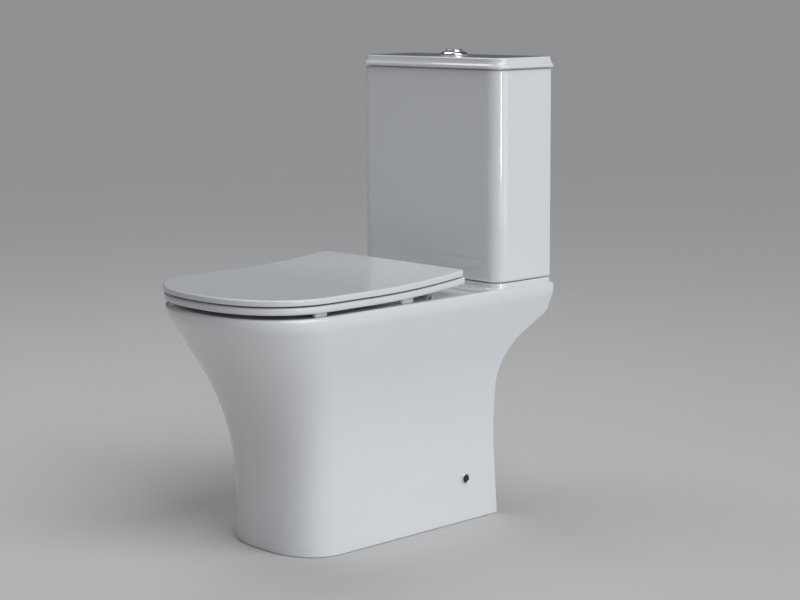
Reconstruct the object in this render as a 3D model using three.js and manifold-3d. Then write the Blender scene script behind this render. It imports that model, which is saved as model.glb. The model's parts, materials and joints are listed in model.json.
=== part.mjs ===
// A close coupled toilet: a ceramic pan with a skirted foot and an open back, a ceramic cistern bolted on its
// shelf, a slim seat and lid on a shared hinge line, and the flush valve, fill valve and push button that work it.
// Millimetres, +Z up. The origin is on the floor under the middle of the object. The front of the pan faces -Y.
import * as THREE from "three";
import { mergeVertices } from "three/addons/utils/BufferGeometryUtils.js";
import Module from "manifold-3d";

const wasm = await Module();
wasm.setup();

// ---------------------------------------------------------------- driving dimensions
const overallWidth = 360;
const overallDepth = 665;
const cisternLidTopZ = 815; // the push button stands above it
const backY = overallDepth / 2; // the plane of the wall
const frontY = -overallDepth / 2;
const gap = 0.3; // between pieces that touch
const EPS = 1; // how far a cutter runs past a face

// Pan
const panHeight = 418;
const rimSideSetback = 0.3; // the rim lies inside the seat at each side
const rimSetback = 4; // the rim lies behind the seat's front edge
const rimNose = 139; // length of the curved front
const rimSquareness = 2.3;
const footSideSetback = 60; // the foot lies inside the rim at each side
const footSetback = 124; // the foot's front lies behind the rim's
const footNose = 90;
const footSquareness = 2.6;
const flareStartZ = 95;
const flareRadius = 395;
const flareAngle = THREE.MathUtils.degToRad(33);
const shoulderDrop = 25; // the flare turns upright this far under the rim
const rimEdgeRadius = 5;
const panWall = 12;
const deckThickness = 16;
const footBackInset = 78.5; // the open back's edge at the floor, forward of the wall plane
const backRake = THREE.MathUtils.degToRad(4.4);
const backArcStart = 180; // below the deck's top
const backArcRadius = 106;
const backArcAngle = THREE.MathUtils.degToRad(57);
const backCornerRadius = 15;
const backCornerDrop = 58; // below the deck's top
const backLipAngle = THREE.MathUtils.degToRad(7);
const lipDrop = 83; // the wall that closes the shelf's back reaches this far down
// Bowl and waterways
const rimWidthFront = 46;
const rimWidthSide = 56;
const bowlBehindHinge = 70; // from the hinge line forward to the bowl's back edge
const bowlFloorZ = 52;
const trapRadius = 37;
const trapWall = 11;
const outletZ = 180;
const outletBackInset = 51;
const flushDuctRadius = 23;
const flushDuctWall = 9;
// Cistern
const tankSideSetback = 5; // the cistern lies inside the rim at each side
const tankDepth = 137.5;
const tankBackInset = 6;
const tankWall = 9;
const tankFloor = 12;
const tankCornerRadius = 26;
const tankBackCornerRadius = 6;
const plinthHeight = 9;
const plinthInset = 1;
const tankSeatGap = 1.2;
// Cistern lid
const lidHeight = 18.3;
const lidOverhang = 4.5;
const lidLipHeight = 4.5;
const lidTopInset = 4.4;
const lidPlate = 8;
const lidShadowGap = 2.4; // from the tank's top up to the lid's outer edge
const lidRimInset = 4; // the ledge that rests on the tank, in from the tank's face
const lidLocatorDepth = 8;
const lidLocatorClearance = 1.5;
// Push button
const bezelRadius = 25;
const bezelHeight = 7;
const bezelBarrelRadius = 19;
const lidHoleClearance = 1;
const buttonRadius = 16;
const buttonHeight = 11;
const buttonClearance = 0.5;
const buttonSplit = 5; // the gap between the halves lies this far off the middle
const buttonNutRadius = 27;
const rodRadius = 2.5;
const rodClearance = 0.3;
// Flush valve
const valveTailRadius = 30;
const valveTailHoleRadius = 31;
const valveBore = 26;
const valveFlangeRadius = 42;
const valveFlangeHeight = 5;
const valveSeatHeight = 4;
const valveNutRadius = 38;
const valveNutHeight = 11;
const valveWasherHeight = 3;
const cageLegRadius = 33;
const cageLegHeight = 27;
const towerRadius = 23;
const towerBore = 19.5;
const towerBelowTank = 94; // the tower's top, below the tank's
const sealHeight = 5.5;
const overflowRadius = 16;
const overflowBore = 13.5;
const overflowBelowTower = 16;
const pinionRadius = 6;
const pinionLength = 18;
const axleRadius = 2;
const axleClearance = 0.05;
const strapWidth = 5;
const strapThickness = 4;
const gasketRadius = 46;
const gasketHeight = 12;
// Coupling bolts, at each side of the flush valve
const couplingToRecess = 8; // from a bolt's washer to the wall round the gasket
const couplingBoltRadius = 4;
const couplingHoleRadius = 6.5;
const couplingHeadRadius = 11;
const couplingSealRadius = 14;
const boltTail = 30; // below the deck
const wingNutRadius = 8;
const wingNutHeight = 9;
const wingSpan = 17;
// Fill valve
const fillToBolt = 43; // from the right-hand coupling bolt to the fill valve
const fillShankRadius = 10;
const fillHoleRadius = 12;
const fillRiserRadius = 7;
const fillTailLength = 42;
const fillNutRadius = 17;
const fillHeadRadius = 20;
const fillHeadHeight = 26;
const fillBelowTank = 94; // the head's underside, below the tank's top
const floatRadius = 24;
const floatHeight = 62;
const floatTravel = 20;
const floatArmReach = 40; // from the arm's pivot to the float's post
const floatArmClearance = 1;
const deckInletHoleRadius = 22;
// Seat and lid
const seatNose = 141;
const seatSquareness = 2.3;
const seatCornerRadius = 12;
const seatBottomGap = 7.5; // above the rim, where the buffers stand
const seatThickness = 12;
const lidGap = 2.7; // between seat and lid
const seatLidThickness = 10;
const seatEdgeRadius = 3.5;
const lidEdgeRadius = 3;
const bendToHinge = 208; // the seat starts to rise this far in front of the hinge line
const bendRadius = 1772;
const hingeToTank = 84.5;
const hingeRise = 14; // the hinge axis above the rim
const lidBehindHinge = 2.5;
const seatBehindHinge = 7;
const seatInset = 1.5; // the seat's outline inside the lid's
const seatHoleHalfWidth = 110;
const seatHoleFrontWidth = 62;
const seatHoleToHinge = 98;
const bufferInset = 15; // from the seat's side
const bufferToFront = 124; // from the seat's front to the front buffers
const bufferToHinge = 124; // from the hinge line to the rear buffers
const lidBufferInset = 35;
const lidBufferToFront = 192.5;
// Hinges
const hingeHalfSpacing = 77.5;
const hingeBarrelRadius = 8;
const hingeBarrelHalf = 16.5;
const hingePinRadius = 4;
const hingePinClearance = 0.05;
const hingeLugWidth = 8;
const hingeSideClearance = 1;
const hingeNotchClearance = 1.5;
const hingeBaseRadius = 17.5;
const hingeBaseHeight = 3.5;
const hingeStudRadius = 3.5;
const hingeHoleRadius = 7;
const hingeWasherRadius = 14;
// Floor fixings
const fixingZ = 78;
const fixingBackInset = 168;
const fixingHoleRadius = 6;
const bracketWidth = 36;
const bracketDepth = 22;
const screwRadius = 2.8;
const capRadius = 8.5;
const capHeight = 2.8;

// ---------------------------------------------------------------- places worked out from them
const rimFrontY = frontY + rimSetback;
const footFrontY = rimFrontY + footSetback;
const seatHalfWidth = overallWidth / 2;
const rimHalfWidth = seatHalfWidth - rimSideSetback;
const footHalfWidth = rimHalfWidth - footSideSetback;
const tankHalfWidth = rimHalfWidth - tankSideSetback;
const tankBackY = backY - tankBackInset;
const tankFrontY = tankBackY - tankDepth;
const tankY = (tankBackY + tankFrontY) / 2;
const tankBottomZ = panHeight + plinthHeight + tankSeatGap;
const tankFloorZ = tankBottomZ + tankFloor;
const lidBottomZ = cisternLidTopZ - lidHeight;
const tankTopZ = lidBottomZ - lidShadowGap;
const hingeY = tankFrontY - hingeToTank;
const hingeZ = panHeight + hingeRise;
const seatBottomZ = panHeight + seatBottomGap;
const seatTopZ = seatBottomZ + seatThickness;
const seatLidBottomZ = seatTopZ + lidGap;
const deckUnderZ = panHeight - deckThickness;
const plinthTopZ = panHeight + plinthHeight;
const bowlBackY = hingeY - bowlBehindHinge;
const bowlFrontY = rimFrontY + rimWidthFront;
const bowlHalfWidth = rimHalfWidth - rimWidthSide;
const fixingY = backY - fixingBackInset;
const valveNutZ = tankBottomZ - gap - valveNutHeight;
const gasketZ = valveNutZ - gap - gasketHeight;
const recessZ = gasketZ - gap;
const recessRadius = gasketRadius + 2;
const couplingHalfSpacing = recessRadius + panWall + couplingSealRadius + couplingToRecess;
const fillX = -(couplingHalfSpacing + fillToBolt);
const bufferX = seatHalfWidth - bufferInset;
const lidBufferX = seatHalfWidth - lidBufferInset;
const frontBufferY = frontY + bufferToFront;
const rearBufferY = hingeY - bufferToHinge;
const lidBufferY = frontY + lidBufferToFront;
const towerTopZ = tankTopZ - towerBelowTank;
const fillHeadZ = tankTopZ - fillBelowTank;
const boltBottomZ = deckUnderZ - boltTail;

// ---------------------------------------------------------------- solids
const part = new THREE.Group();

function solid(geometry) {
  const bare = geometry.clone();
  for (const name of ["normal", "uv"]) bare.deleteAttribute(name);
  const merged = mergeVertices(bare, 1e-4);
  const made = new wasm.Manifold(
    new wasm.Mesh({
      numProp: 3,
      vertProperties: new Float32Array(merged.attributes.position.array),
      triVerts: new Uint32Array(merged.index.array),
    }),
  );
  return made;
}

function geometryOf(manifold) {
  const mesh = manifold.getMesh();
  return new THREE.BufferGeometry()
    .setAttribute("position", new THREE.BufferAttribute(new Float32Array(mesh.vertProperties), 3))
    .setIndex(new THREE.BufferAttribute(new Uint32Array(mesh.triVerts), 1));
}

const materials = {
  ceramic: new THREE.MeshStandardMaterial({ color: 0xe9edf0, roughness: 0.08, metalness: 0 }),
  seat: new THREE.MeshStandardMaterial({ color: 0xe6e9eb, roughness: 0.2, metalness: 0 }),
  chrome: new THREE.MeshStandardMaterial({ color: 0xd8dadc, roughness: 0.06, metalness: 1 }),
  steel: new THREE.MeshStandardMaterial({ color: 0xb9bbbd, roughness: 0.35, metalness: 1 }),
  whitePlastic: new THREE.MeshStandardMaterial({ color: 0xdfe1e0, roughness: 0.45, metalness: 0 }),
  greyPlastic: new THREE.MeshStandardMaterial({ color: 0x8d9398, roughness: 0.5, metalness: 0 }),
  bluePlastic: new THREE.MeshStandardMaterial({ color: 0x5d86b4, roughness: 0.45, metalness: 0 }),
  rubber: new THREE.MeshStandardMaterial({ color: 0x24262a, roughness: 0.8, metalness: 0 }),
  buffer: new THREE.MeshStandardMaterial({ color: 0xdadddf, roughness: 0.6, metalness: 0 }),
};

// Cuts leave slivers, which are merged before a shape becomes a mesh.
function addNode(name, shape, material, sliver = 0.01) {
  const mesh = new THREE.Mesh(geometryOf(shape.simplify(sliver)), materials[material]);
  mesh.name = name;
  part.add(mesh);
}

// A closed skin over rings of [x, y, z] points that all have the same count. A ring's point i faces point n - 1 - i
// across the middle, so the end caps are strips between the two and stay smooth when the rings bend.
function loft(rings) {
  const count = rings[0].length;
  const index = [];
  for (let r = 0; r + 1 < rings.length; r++)
    for (let i = 0; i < count; i++) {
      const [a, b] = [r * count + i, r * count + ((i + 1) % count)];
      index.push(a, b, b + count, a, b + count, a + count);
    }
  const last = (rings.length - 1) * count;
  for (let i = 0; i + 1 < count / 2; i++) {
    const [a, b, c, d] = [i, i + 1, count - 2 - i, count - 1 - i];
    index.push(a, d, b, b, d, c);
    index.push(last + a, last + b, last + d, last + b, last + c, last + d);
  }
  const geometry = new THREE.BufferGeometry();
  geometry.setAttribute("position", new THREE.Float32BufferAttribute(rings.flat(2), 3));
  geometry.setIndex(index);
  const made = solid(geometry);
  if (made.volume() > 0) return made;
  for (let i = 0; i < index.length; i += 3) [index[i + 1], index[i + 2]] = [index[i + 2], index[i + 1]];
  geometry.setIndex(index);
  return solid(geometry);
}

// A quarter of a superellipse, from the side (t = 0) to the tip (t = 1).
function nosePoint(halfWidth, length, squareness, t) {
  const angle = (t * Math.PI) / 2;
  return [halfWidth * Math.cos(angle) ** (2 / squareness), length * Math.sin(angle) ** (2 / squareness)];
}

// The plan of a pan, seat or lid: straight sides, a curved front and round back corners. Right half first.
function frontedOutline(o, steps = 10, stations = 0) {
  const right = [];
  const cornerSteps = 3;
  for (let i = 0; i <= cornerSteps; i++) {
    const angle = Math.PI / 2 - (i / cornerSteps) * (Math.PI / 2);
    right.push([
      o.halfWidth - o.corner + o.corner * Math.cos(angle),
      o.backY - o.corner + o.corner * Math.sin(angle),
    ]);
  }
  const noseY = o.frontY + o.nose;
  const sideY = o.backY - o.corner;
  for (let i = 1; i <= stations; i++) right.push([o.halfWidth, sideY + ((noseY - sideY) * i) / (stations + 1)]);
  for (let i = 0; i < steps; i++) {
    const [x, y] = nosePoint(o.halfWidth, o.nose, o.squareness, i / steps);
    right.push([x, noseY - y]);
  }
  const tip = nosePoint(o.halfWidth, o.nose, o.squareness, (steps - 0.45) / steps);
  right.push([tip[0], o.frontY]);
  return [...right, ...right.map(([x, y]) => [-x, y]).reverse()];
}

const inset = (o, by) => ({
  ...o,
  halfWidth: o.halfWidth - by,
  frontY: o.frontY + by,
  backY: o.backY - by,
  nose: o.nose - by,
  corner: Math.max(o.corner - by, 0.5),
});

const atHeight = (points, z) => points.map(([x, y]) => [x, y, z]);

// An upright cylinder between two heights.
function drum(radius, z0, z1, x = 0, y = 0, sides = 24) {
  const geometry = new THREE.CylinderGeometry(radius, radius, z1 - z0, sides);
  geometry.rotateX(Math.PI / 2);
  geometry.translate(x, y, (z0 + z1) / 2);
  return solid(geometry);
}

// A cylinder along X between two places.
function bar(radius, x0, x1, y, z, sides = 16) {
  const geometry = new THREE.CylinderGeometry(radius, radius, Math.abs(x1 - x0), sides);
  geometry.rotateZ(Math.PI / 2);
  geometry.translate((x0 + x1) / 2, y, z);
  return solid(geometry);
}

function block(x0, x1, y0, y1, z0, z1) {
  const geometry = new THREE.BoxGeometry(Math.abs(x1 - x0), y1 - y0, z1 - z0);
  geometry.translate((x0 + x1) / 2, (y0 + y1) / 2, (z0 + z1) / 2);
  return solid(geometry);
}

// A turned piece: [radius, z] points from its foot up its outside and back to the axis.
function turned(profile, x = 0, y = 0, sides = 24) {
  const geometry = new THREE.LatheGeometry(
    profile.map(([r, z]) => new THREE.Vector2(Math.max(r, 0), z)),
    sides,
  );
  geometry.rotateX(Math.PI / 2);
  geometry.translate(x, y, 0);
  return solid(geometry);
}

// A ring, its bore always round enough to clear a shaft.
const ring = (inner, outer, z0, z1, x, y, sides = 24) =>
  drum(outer, z0, z1, x, y, sides).subtract(drum(inner, z0 - EPS, z1 + EPS, x, y, Math.max(sides, 24)));

// A round tube that follows a smooth path in the middle plane.
function pipe(points, radius, steps, sides = 16) {
  const shape = new THREE.Shape();
  shape.absarc(0, 0, radius, 0, Math.PI * 2);
  const path = new THREE.CatmullRomCurve3(points.map(([y, z]) => new THREE.Vector3(0, y, z)));
  return solid(new THREE.ExtrudeGeometry(shape, { extrudePath: path, steps, curveSegments: sides / 2 }));
}

// A plan with round corners, its front corners larger than its back ones. Right half first.
function boxedOutline(halfWidth, frontAt, backAt, frontCorner, backCorner, steps = 5) {
  const right = [];
  for (const [corner, centreY, start, count] of [
    [backCorner, backAt - backCorner, 90, 2],
    [frontCorner, frontAt + frontCorner, 0, steps],
  ])
    for (let i = 0; i <= count; i++) {
      const angle = THREE.MathUtils.degToRad(start - (i / count) * 90);
      right.push([halfWidth - corner + corner * Math.cos(angle), centreY + corner * Math.sin(angle)]);
    }
  return [...right, ...right.map(([x, y]) => [-x, y]).reverse()];
}

// The cistern's plan, drawn in by a distance.
function tankOutline(by) {
  const corner = Math.max(tankCornerRadius - by, 2);
  const backCorner = Math.max(tankBackCornerRadius - by, 1);
  return boxedOutline(tankHalfWidth - by, tankFrontY + by, tankBackY - by, corner, backCorner);
}

const prism = (outline, z0, z1) => loft([atHeight(outline, z0), atHeight(outline, z1)]);

// ---------------------------------------------------------------- pan
// How far the skin has flared out at a height, from 0 at the foot to 1 at the rim.
function flareAt(z) {
  const arcTopZ = flareStartZ + flareRadius * Math.sin(flareAngle);
  const shoulderZ = panHeight - shoulderDrop;
  const edgeZ = panHeight - rimEdgeRadius;
  const shoulderRadius = (edgeZ - shoulderZ) / Math.sin(flareAngle);
  const reach = (height) => {
    const up = Math.max(height - flareStartZ, 0);
    if (height <= arcTopZ) return flareRadius - Math.sqrt(flareRadius ** 2 - up ** 2);
    const arc = flareRadius * (1 - Math.cos(flareAngle));
    const line = (Math.min(height, shoulderZ) - arcTopZ) * Math.tan(flareAngle);
    if (height <= shoulderZ) return arc + line;
    const below = Math.max(edgeZ - height, 0);
    const turn = Math.sqrt(shoulderRadius ** 2 - below ** 2) - shoulderRadius * Math.cos(flareAngle);
    return arc + line + turn;
  };
  return reach(z) / reach(edgeZ);
}

// How far the edge of the open back lies in front of the wall plane at a height.
function backInsetAt(z) {
  const arcZ = panHeight - backArcStart;
  const arcInset = footBackInset + arcZ * Math.tan(backRake);
  if (z <= arcZ) return footBackInset + z * Math.tan(backRake);
  const arcTopZ = arcZ + backArcRadius * (Math.sin(backRake) + Math.sin(backArcAngle));
  if (z <= arcTopZ) {
    const angle = Math.asin((z - arcZ) / backArcRadius - Math.sin(backRake));
    return arcInset + backArcRadius * (Math.cos(angle) - Math.cos(backRake));
  }
  const cornerZ = panHeight - backCornerDrop;
  const topInset = arcInset + backArcRadius * (Math.cos(backArcAngle) - Math.cos(backRake));
  const cornerInset = topInset - (cornerZ - arcTopZ) * Math.tan(backArcAngle);
  if (z <= cornerZ) return topInset - (z - arcTopZ) * Math.tan(backArcAngle);
  const cornerTopZ = cornerZ + backCornerRadius * (Math.sin(backArcAngle) - Math.sin(backLipAngle));
  const lipInset = cornerInset - backCornerRadius * (Math.cos(backLipAngle) - Math.cos(backArcAngle));
  if (z <= cornerTopZ) {
    const angle = Math.asin(Math.sin(backArcAngle) - (z - cornerZ) / backCornerRadius);
    return cornerInset - backCornerRadius * (Math.cos(angle) - Math.cos(backArcAngle));
  }
  return Math.max(lipInset - (z - cornerTopZ) * Math.tan(backLipAngle), 0);
}

function panOutlineAt(z) {
  const flare = flareAt(Math.min(z, panHeight - rimEdgeRadius));
  const mix = (foot, rim) => foot + (rim - foot) * flare;
  return {
    halfWidth: mix(footHalfWidth, rimHalfWidth),
    frontY: mix(footFrontY, rimFrontY),
    backY: backY - backInsetAt(z),
    nose: mix(footNose, rimNose),
    squareness: mix(footSquareness, rimSquareness),
    corner: 8,
  };
}

const spread = (from, to, count) => Array.from({ length: count }, (_, i) => from + ((to - from) * i) / (count - 1));

function panSkin() {
  const arcZ = panHeight - backArcStart;
  const cornerZ = panHeight - backCornerDrop;
  const heights = [
    0,
    flareStartZ,
    ...spread(flareStartZ + 45, arcZ, 3),
    ...spread(arcZ + 24, cornerZ, 6),
    ...spread(cornerZ + 5, cornerZ + 15, 2),
    ...spread(panHeight - shoulderDrop, panHeight - rimEdgeRadius, 3),
  ];
  const rings = heights.map((z) => atHeight(frontedOutline(panOutlineAt(z)), z));
  const edge = panOutlineAt(panHeight);
  for (const turn of [30, 60, 90]) {
    const angle = THREE.MathUtils.degToRad(turn);
    const z = panHeight - rimEdgeRadius * (1 - Math.sin(angle));
    rings.push(atHeight(frontedOutline(inset(edge, rimEdgeRadius * (1 - Math.cos(angle)))), z));
  }
  return loft(rings);
}

// The space inside the skirt. It is open under the foot and through the back below the shelf's lip.
function skirtHollow() {
  const lipZ = panHeight - lipDrop;
  const past = 40;
  const heights = [
    ...spread(-EPS, flareStartZ, 2),
    ...spread(flareStartZ + 60, lipZ - gap, 4),
    ...spread(lipZ, deckUnderZ, 5),
  ];
  return loft(
    heights.map((z) => {
      const o = inset(panOutlineAt(Math.max(z, 0)), panWall);
      const open = z < lipZ;
      return atHeight(frontedOutline(open ? { ...o, backY: o.backY + past } : o), z);
    }),
  );
}

// A level slice of the bowl: an oval with its own front and back lengths.
function ovalRing(z, centreY, halfLength, halfWidth, steps = 8) {
  const right = [];
  for (let i = 0; i < 2 * steps; i++) {
    const t = (i + 0.5) / steps;
    const [x, y] =
      t < 1 ? nosePoint(halfWidth, halfLength, 2.6, 1 - t) : nosePoint(halfWidth, -halfLength, 2.25, t - 1);
    right.push([x, centreY + y, z]);
  }
  return [...right, ...right.map(([x, y]) => [-x, y, z]).reverse()];
}

const bowlMiddleY = (bowlFrontY + bowlBackY) / 2;
const bowlHalfLength = (bowlBackY - bowlFrontY) / 2;
const sumpY = bowlMiddleY + 62;
const sumpHalf = 36;

// The bowl narrows from its mouth to the sump. Grown by a wall, it is the bowl's own shell.
function bowlForm(wall, topZ) {
  const heights = [bowlFloorZ - wall, bowlFloorZ + 14 - wall, 100, 140, 180, 225, 270, 315, 360, 392, topZ];
  return loft(
    heights.map((z, i) => {
      const t = Math.min(Math.max((z - bowlFloorZ) / (panHeight - bowlFloorZ), 0), 1);
      const wide = t ** 1.05 * (1.62 - 0.62 * t);
      const foot = i === 0 ? 0.45 : 1;
      const half = (sumpHalf * foot + (bowlHalfLength - sumpHalf * foot) * wide) + wall * foot;
      const side = (sumpHalf * foot + (bowlHalfWidth - sumpHalf * foot) * wide) + wall * foot;
      const centre = sumpY + (bowlMiddleY - sumpY) * t;
      return ovalRing(z, centre, half, side);
    }),
  );
}

const trapPath = (endInset) => [
  [sumpY - 4, bowlFloorZ + 46],
  [sumpY + 42, bowlFloorZ + 40],
  [sumpY + 76, bowlFloorZ + 66],
  [sumpY + 96, outletZ - 20],
  [sumpY + 124, outletZ + 22],
  [sumpY + 160, outletZ + 14],
  [sumpY + 196, outletZ],
  [backY - outletBackInset - 60, outletZ],
  [backY - endInset, outletZ],
];

const ductPath = (topZ, frontEnd) => [
  [tankY, topZ],
  [tankY, deckUnderZ - 18],
  [tankY - 22, deckUnderZ - 38],
  [tankY - 70, deckUnderZ - 42],
  [bowlBackY + 40, deckUnderZ - 36],
  [frontEnd, deckUnderZ - 32],
];

function pan() {
  let body = panSkin().subtract(skirtHollow());
  body = body.add(prism(tankOutline(plinthInset), panHeight - EPS, plinthTopZ));
  body = body.add(drum(recessRadius + panWall, recessZ - panWall, deckUnderZ + EPS, 0, tankY, 28));
  body = body.add(bowlForm(panWall, deckUnderZ + EPS));
  body = body.add(pipe(trapPath(outletBackInset), trapRadius + trapWall, 16, 20));
  body = body.add(pipe(ductPath(recessZ - 1, bowlBackY - 4), flushDuctRadius + flushDuctWall, 10, 14));
  body = body.subtract(bowlForm(0, panHeight + EPS));
  body = body.subtract(pipe(trapPath(outletBackInset - EPS), trapRadius, 16, 20));
  body = body.subtract(pipe(ductPath(recessZ + EPS, bowlBackY - 10), flushDuctRadius, 10, 14));
  body = body.subtract(drum(recessRadius, recessZ, plinthTopZ + EPS, 0, tankY, 28));
  body = body.subtract(drum(deckInletHoleRadius, deckUnderZ - EPS, plinthTopZ + EPS, fillX, tankY, 16));
  for (const side of [-1, 1]) {
    const x = side * couplingHalfSpacing;
    body = body.subtract(drum(couplingHoleRadius, deckUnderZ - EPS, plinthTopZ + EPS, x, tankY, 12));
    body = body.subtract(
      drum(hingeHoleRadius, deckUnderZ - EPS, panHeight + EPS, side * hingeHalfSpacing, hingeY, 12),
    );
    const inner = side * (footHalfWidth - panWall - 5);
    const outer = side * (footHalfWidth + 5);
    body = body.subtract(
      bar(fixingHoleRadius, Math.min(inner, outer), Math.max(inner, outer), fixingY, fixingZ, 12),
    );
  }
  return body;
}
addNode("pan", pan(), "ceramic", 0.06);

// ---------------------------------------------------------------- cistern
function cistern() {
  let body = prism(tankOutline(0), tankBottomZ, tankTopZ);
  body = body.subtract(prism(tankOutline(tankWall), tankFloorZ, tankTopZ + EPS));
  const [low, high] = [tankBottomZ - EPS, tankFloorZ + EPS];
  body = body.subtract(drum(valveTailHoleRadius, low, high, 0, tankY));
  body = body.subtract(drum(fillHoleRadius, low, high, fillX, tankY, 16));
  for (const side of [-1, 1])
    body = body.subtract(drum(couplingHoleRadius, low, high, side * couplingHalfSpacing, tankY, 12));
  return body;
}
addNode("cistern", cistern(), "ceramic");
addNode(
  "coupling_gasket",
  ring(valveTailRadius + gap, gasketRadius, gasketZ, gasketZ + gasketHeight, 0, tankY, 28),
  "rubber",
);

// A nut with two wings, its top at a height.
function wingNut(boreRadius, topZ, x, y) {
  const wings = block(x - wingSpan, x + wingSpan, y - 1.5, y + 1.5, topZ - wingNutHeight, topZ - 2);
  const hub = turned(
    [
      [0, topZ - wingNutHeight],
      [wingNutRadius - 1, topZ - wingNutHeight],
      [wingNutRadius, topZ - 2],
      [wingNutRadius, topZ],
      [0, topZ],
    ],
    x, y, 16,
  );
  return hub.add(wings).subtract(drum(boreRadius, topZ - wingNutHeight - EPS, topZ + EPS, x, y, 16));
}

const washerHeight = 2;
const underDeckNutZ = deckUnderZ - 2 * gap - washerHeight;

for (const [side, hand] of [[1, "l"], [-1, "r"]]) {
  const x = side * couplingHalfSpacing;
  const sealZ = tankFloorZ + gap;
  const headZ = sealZ + valveWasherHeight + gap;
  const bolt = turned(
    [
      [0, boltBottomZ],
      [couplingBoltRadius - 0.8, boltBottomZ],
      [couplingBoltRadius, boltBottomZ + 0.8],
      [couplingBoltRadius, headZ],
      [couplingHeadRadius, headZ],
      [couplingHeadRadius, headZ + 3],
      [couplingHeadRadius - 3, headZ + 5.5],
      [0, headZ + 5.5],
    ],
    x, tankY, 16,
  );
  const boreRadius = couplingBoltRadius + gap;
  addNode(`cistern_bolt_${hand}`, bolt, "steel");
  addNode(
    `bolt_seal_${hand}`,
    ring(boreRadius, couplingSealRadius, sealZ, sealZ + valveWasherHeight, x, tankY, 16),
    "rubber",
  );
  addNode(
    `bolt_washer_${hand}`,
    ring(boreRadius, couplingSealRadius, underDeckNutZ + gap, underDeckNutZ + gap + washerHeight, x, tankY, 16),
    "steel",
  );
  addNode(`bolt_wing_nut_${hand}`, wingNut(boreRadius, underDeckNutZ, x, tankY), "whitePlastic");
}

// ---------------------------------------------------------------- flush valve
const valveWasherZ = tankFloorZ + gap;
const valveFlangeZ = valveWasherZ + valveWasherHeight + gap;
const valveSeatZ = valveFlangeZ + valveFlangeHeight + valveSeatHeight;
const cageZ = valveFlangeZ + valveFlangeHeight + gap;
const cagePlateZ = cageZ + cageLegHeight;
const sealZ = valveSeatZ + gap;
const overflowZ = sealZ + sealHeight + gap;
const overflowTopZ = towerTopZ - overflowBelowTower;

function flushValveBase() {
  const tailZ = gasketZ + 1;
  const outer = turned(
    [
      [0, tailZ],
      [valveTailRadius, tailZ],
      [valveTailRadius, valveFlangeZ],
      [valveFlangeRadius, valveFlangeZ],
      [valveFlangeRadius, valveFlangeZ + valveFlangeHeight],
      [valveTailRadius, valveFlangeZ + valveFlangeHeight],
      [valveTailRadius - 1.5, valveSeatZ],
      [0, valveSeatZ],
    ],
    0, tankY, 28,
  );
  return outer.subtract(drum(valveBore, tailZ - EPS, valveSeatZ + EPS, 0, tankY, 28));
}
addNode("flush_valve_base", flushValveBase(), "whitePlastic");
addNode(
  "flush_valve_washer",
  ring(valveTailRadius + gap, valveFlangeRadius, valveWasherZ, valveWasherZ + valveWasherHeight, 0, tankY, 28),
  "rubber",
);
addNode(
  "flush_valve_back_nut",
  ring(valveTailRadius + gap, valveNutRadius, valveNutZ, valveNutZ + valveNutHeight, 0, tankY, 12),
  "greyPlastic",
);

// The pinion stands between the full flush rod on its left and the overflow tube's strap on its right.
const fullRodX = -7;
const halfRodX = 10.5;
const halfRodY = tankY + 5;
const pinionX = fullRodX + rodRadius + rodClearance + pinionRadius;
const strapX = pinionX + pinionRadius + rodClearance;
const pinionZ = towerTopZ + 16;
const earInnerHalf = pinionLength / 2 + 1;

function flushValveCage() {
  let cage = ring(towerBore, towerRadius, cagePlateZ, towerTopZ, 0, tankY, 24);
  cage = cage.add(ring(towerBore, cageLegRadius + 5, cagePlateZ, cagePlateZ + 4, 0, tankY, 24));
  cage = cage.add(ring(cageLegRadius, valveFlangeRadius - 1, cageZ, cageZ + 4, 0, tankY, 24));
  for (const turn of [45, 135, 225, 315]) {
    const angle = THREE.MathUtils.degToRad(turn);
    const leg = block(cageLegRadius, cageLegRadius + 5, -4, 4, cageZ + 1, cagePlateZ + 1);
    const [c, s] = [Math.cos(angle), Math.sin(angle)];
    cage = cage.add(leg.transform([c, s, 0, 0, -s, c, 0, 0, 0, 0, 1, 0, 0, tankY, 0, 1]));
  }
  const windowZ = overflowTopZ + 2;
  cage = cage.subtract(block(-40, 40, tankY - 7, tankY + 7, windowZ - 60, windowZ - 15));
  for (const side of [-1, 1]) {
    const [near, far] = [tankY + side * earInnerHalf, tankY + side * (towerRadius - 0.5)];
    const [y0, y1] = [Math.min(near, far), Math.max(near, far)];
    cage = cage.add(block(pinionX - 4, pinionX + 4, y0, y1, towerTopZ - 6, pinionZ + 4.5));
  }
  const axle = axleAlongY(axleRadius + axleClearance, towerRadius + EPS);
  return cage.subtract(axle);
}

function axleAlongY(radius, half) {
  const geometry = new THREE.CylinderGeometry(radius, radius, 2 * half, 16);
  geometry.translate(pinionX, tankY, pinionZ);
  return solid(geometry);
}
addNode("flush_valve_cage", flushValveCage(), "bluePlastic");
addNode(
  "flush_pinion",
  axleAlongY(pinionRadius, pinionLength / 2).add(axleAlongY(axleRadius, towerRadius - 1)),
  "whitePlastic",
);

addNode(
  "flush_seal",
  ring(overflowBore, valveTailRadius - 1, sealZ, sealZ + sealHeight, 0, tankY, 28),
  "rubber",
);

function overflowTube() {
  const tube = ring(overflowBore, overflowRadius, overflowZ, overflowTopZ, 0, tankY, 24);
  const y0 = tankY - 8;
  const foot = block(strapX, overflowRadius - 1.5, y0, y0 + strapWidth, overflowTopZ - 12, overflowTopZ);
  const rack = block(strapX, strapX + strapThickness, y0, y0 + strapWidth, overflowTopZ - 12, pinionZ + 6);
  return tube.add(foot).add(rack);
}
addNode("overflow_tube", overflowTube(), "whitePlastic");

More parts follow.
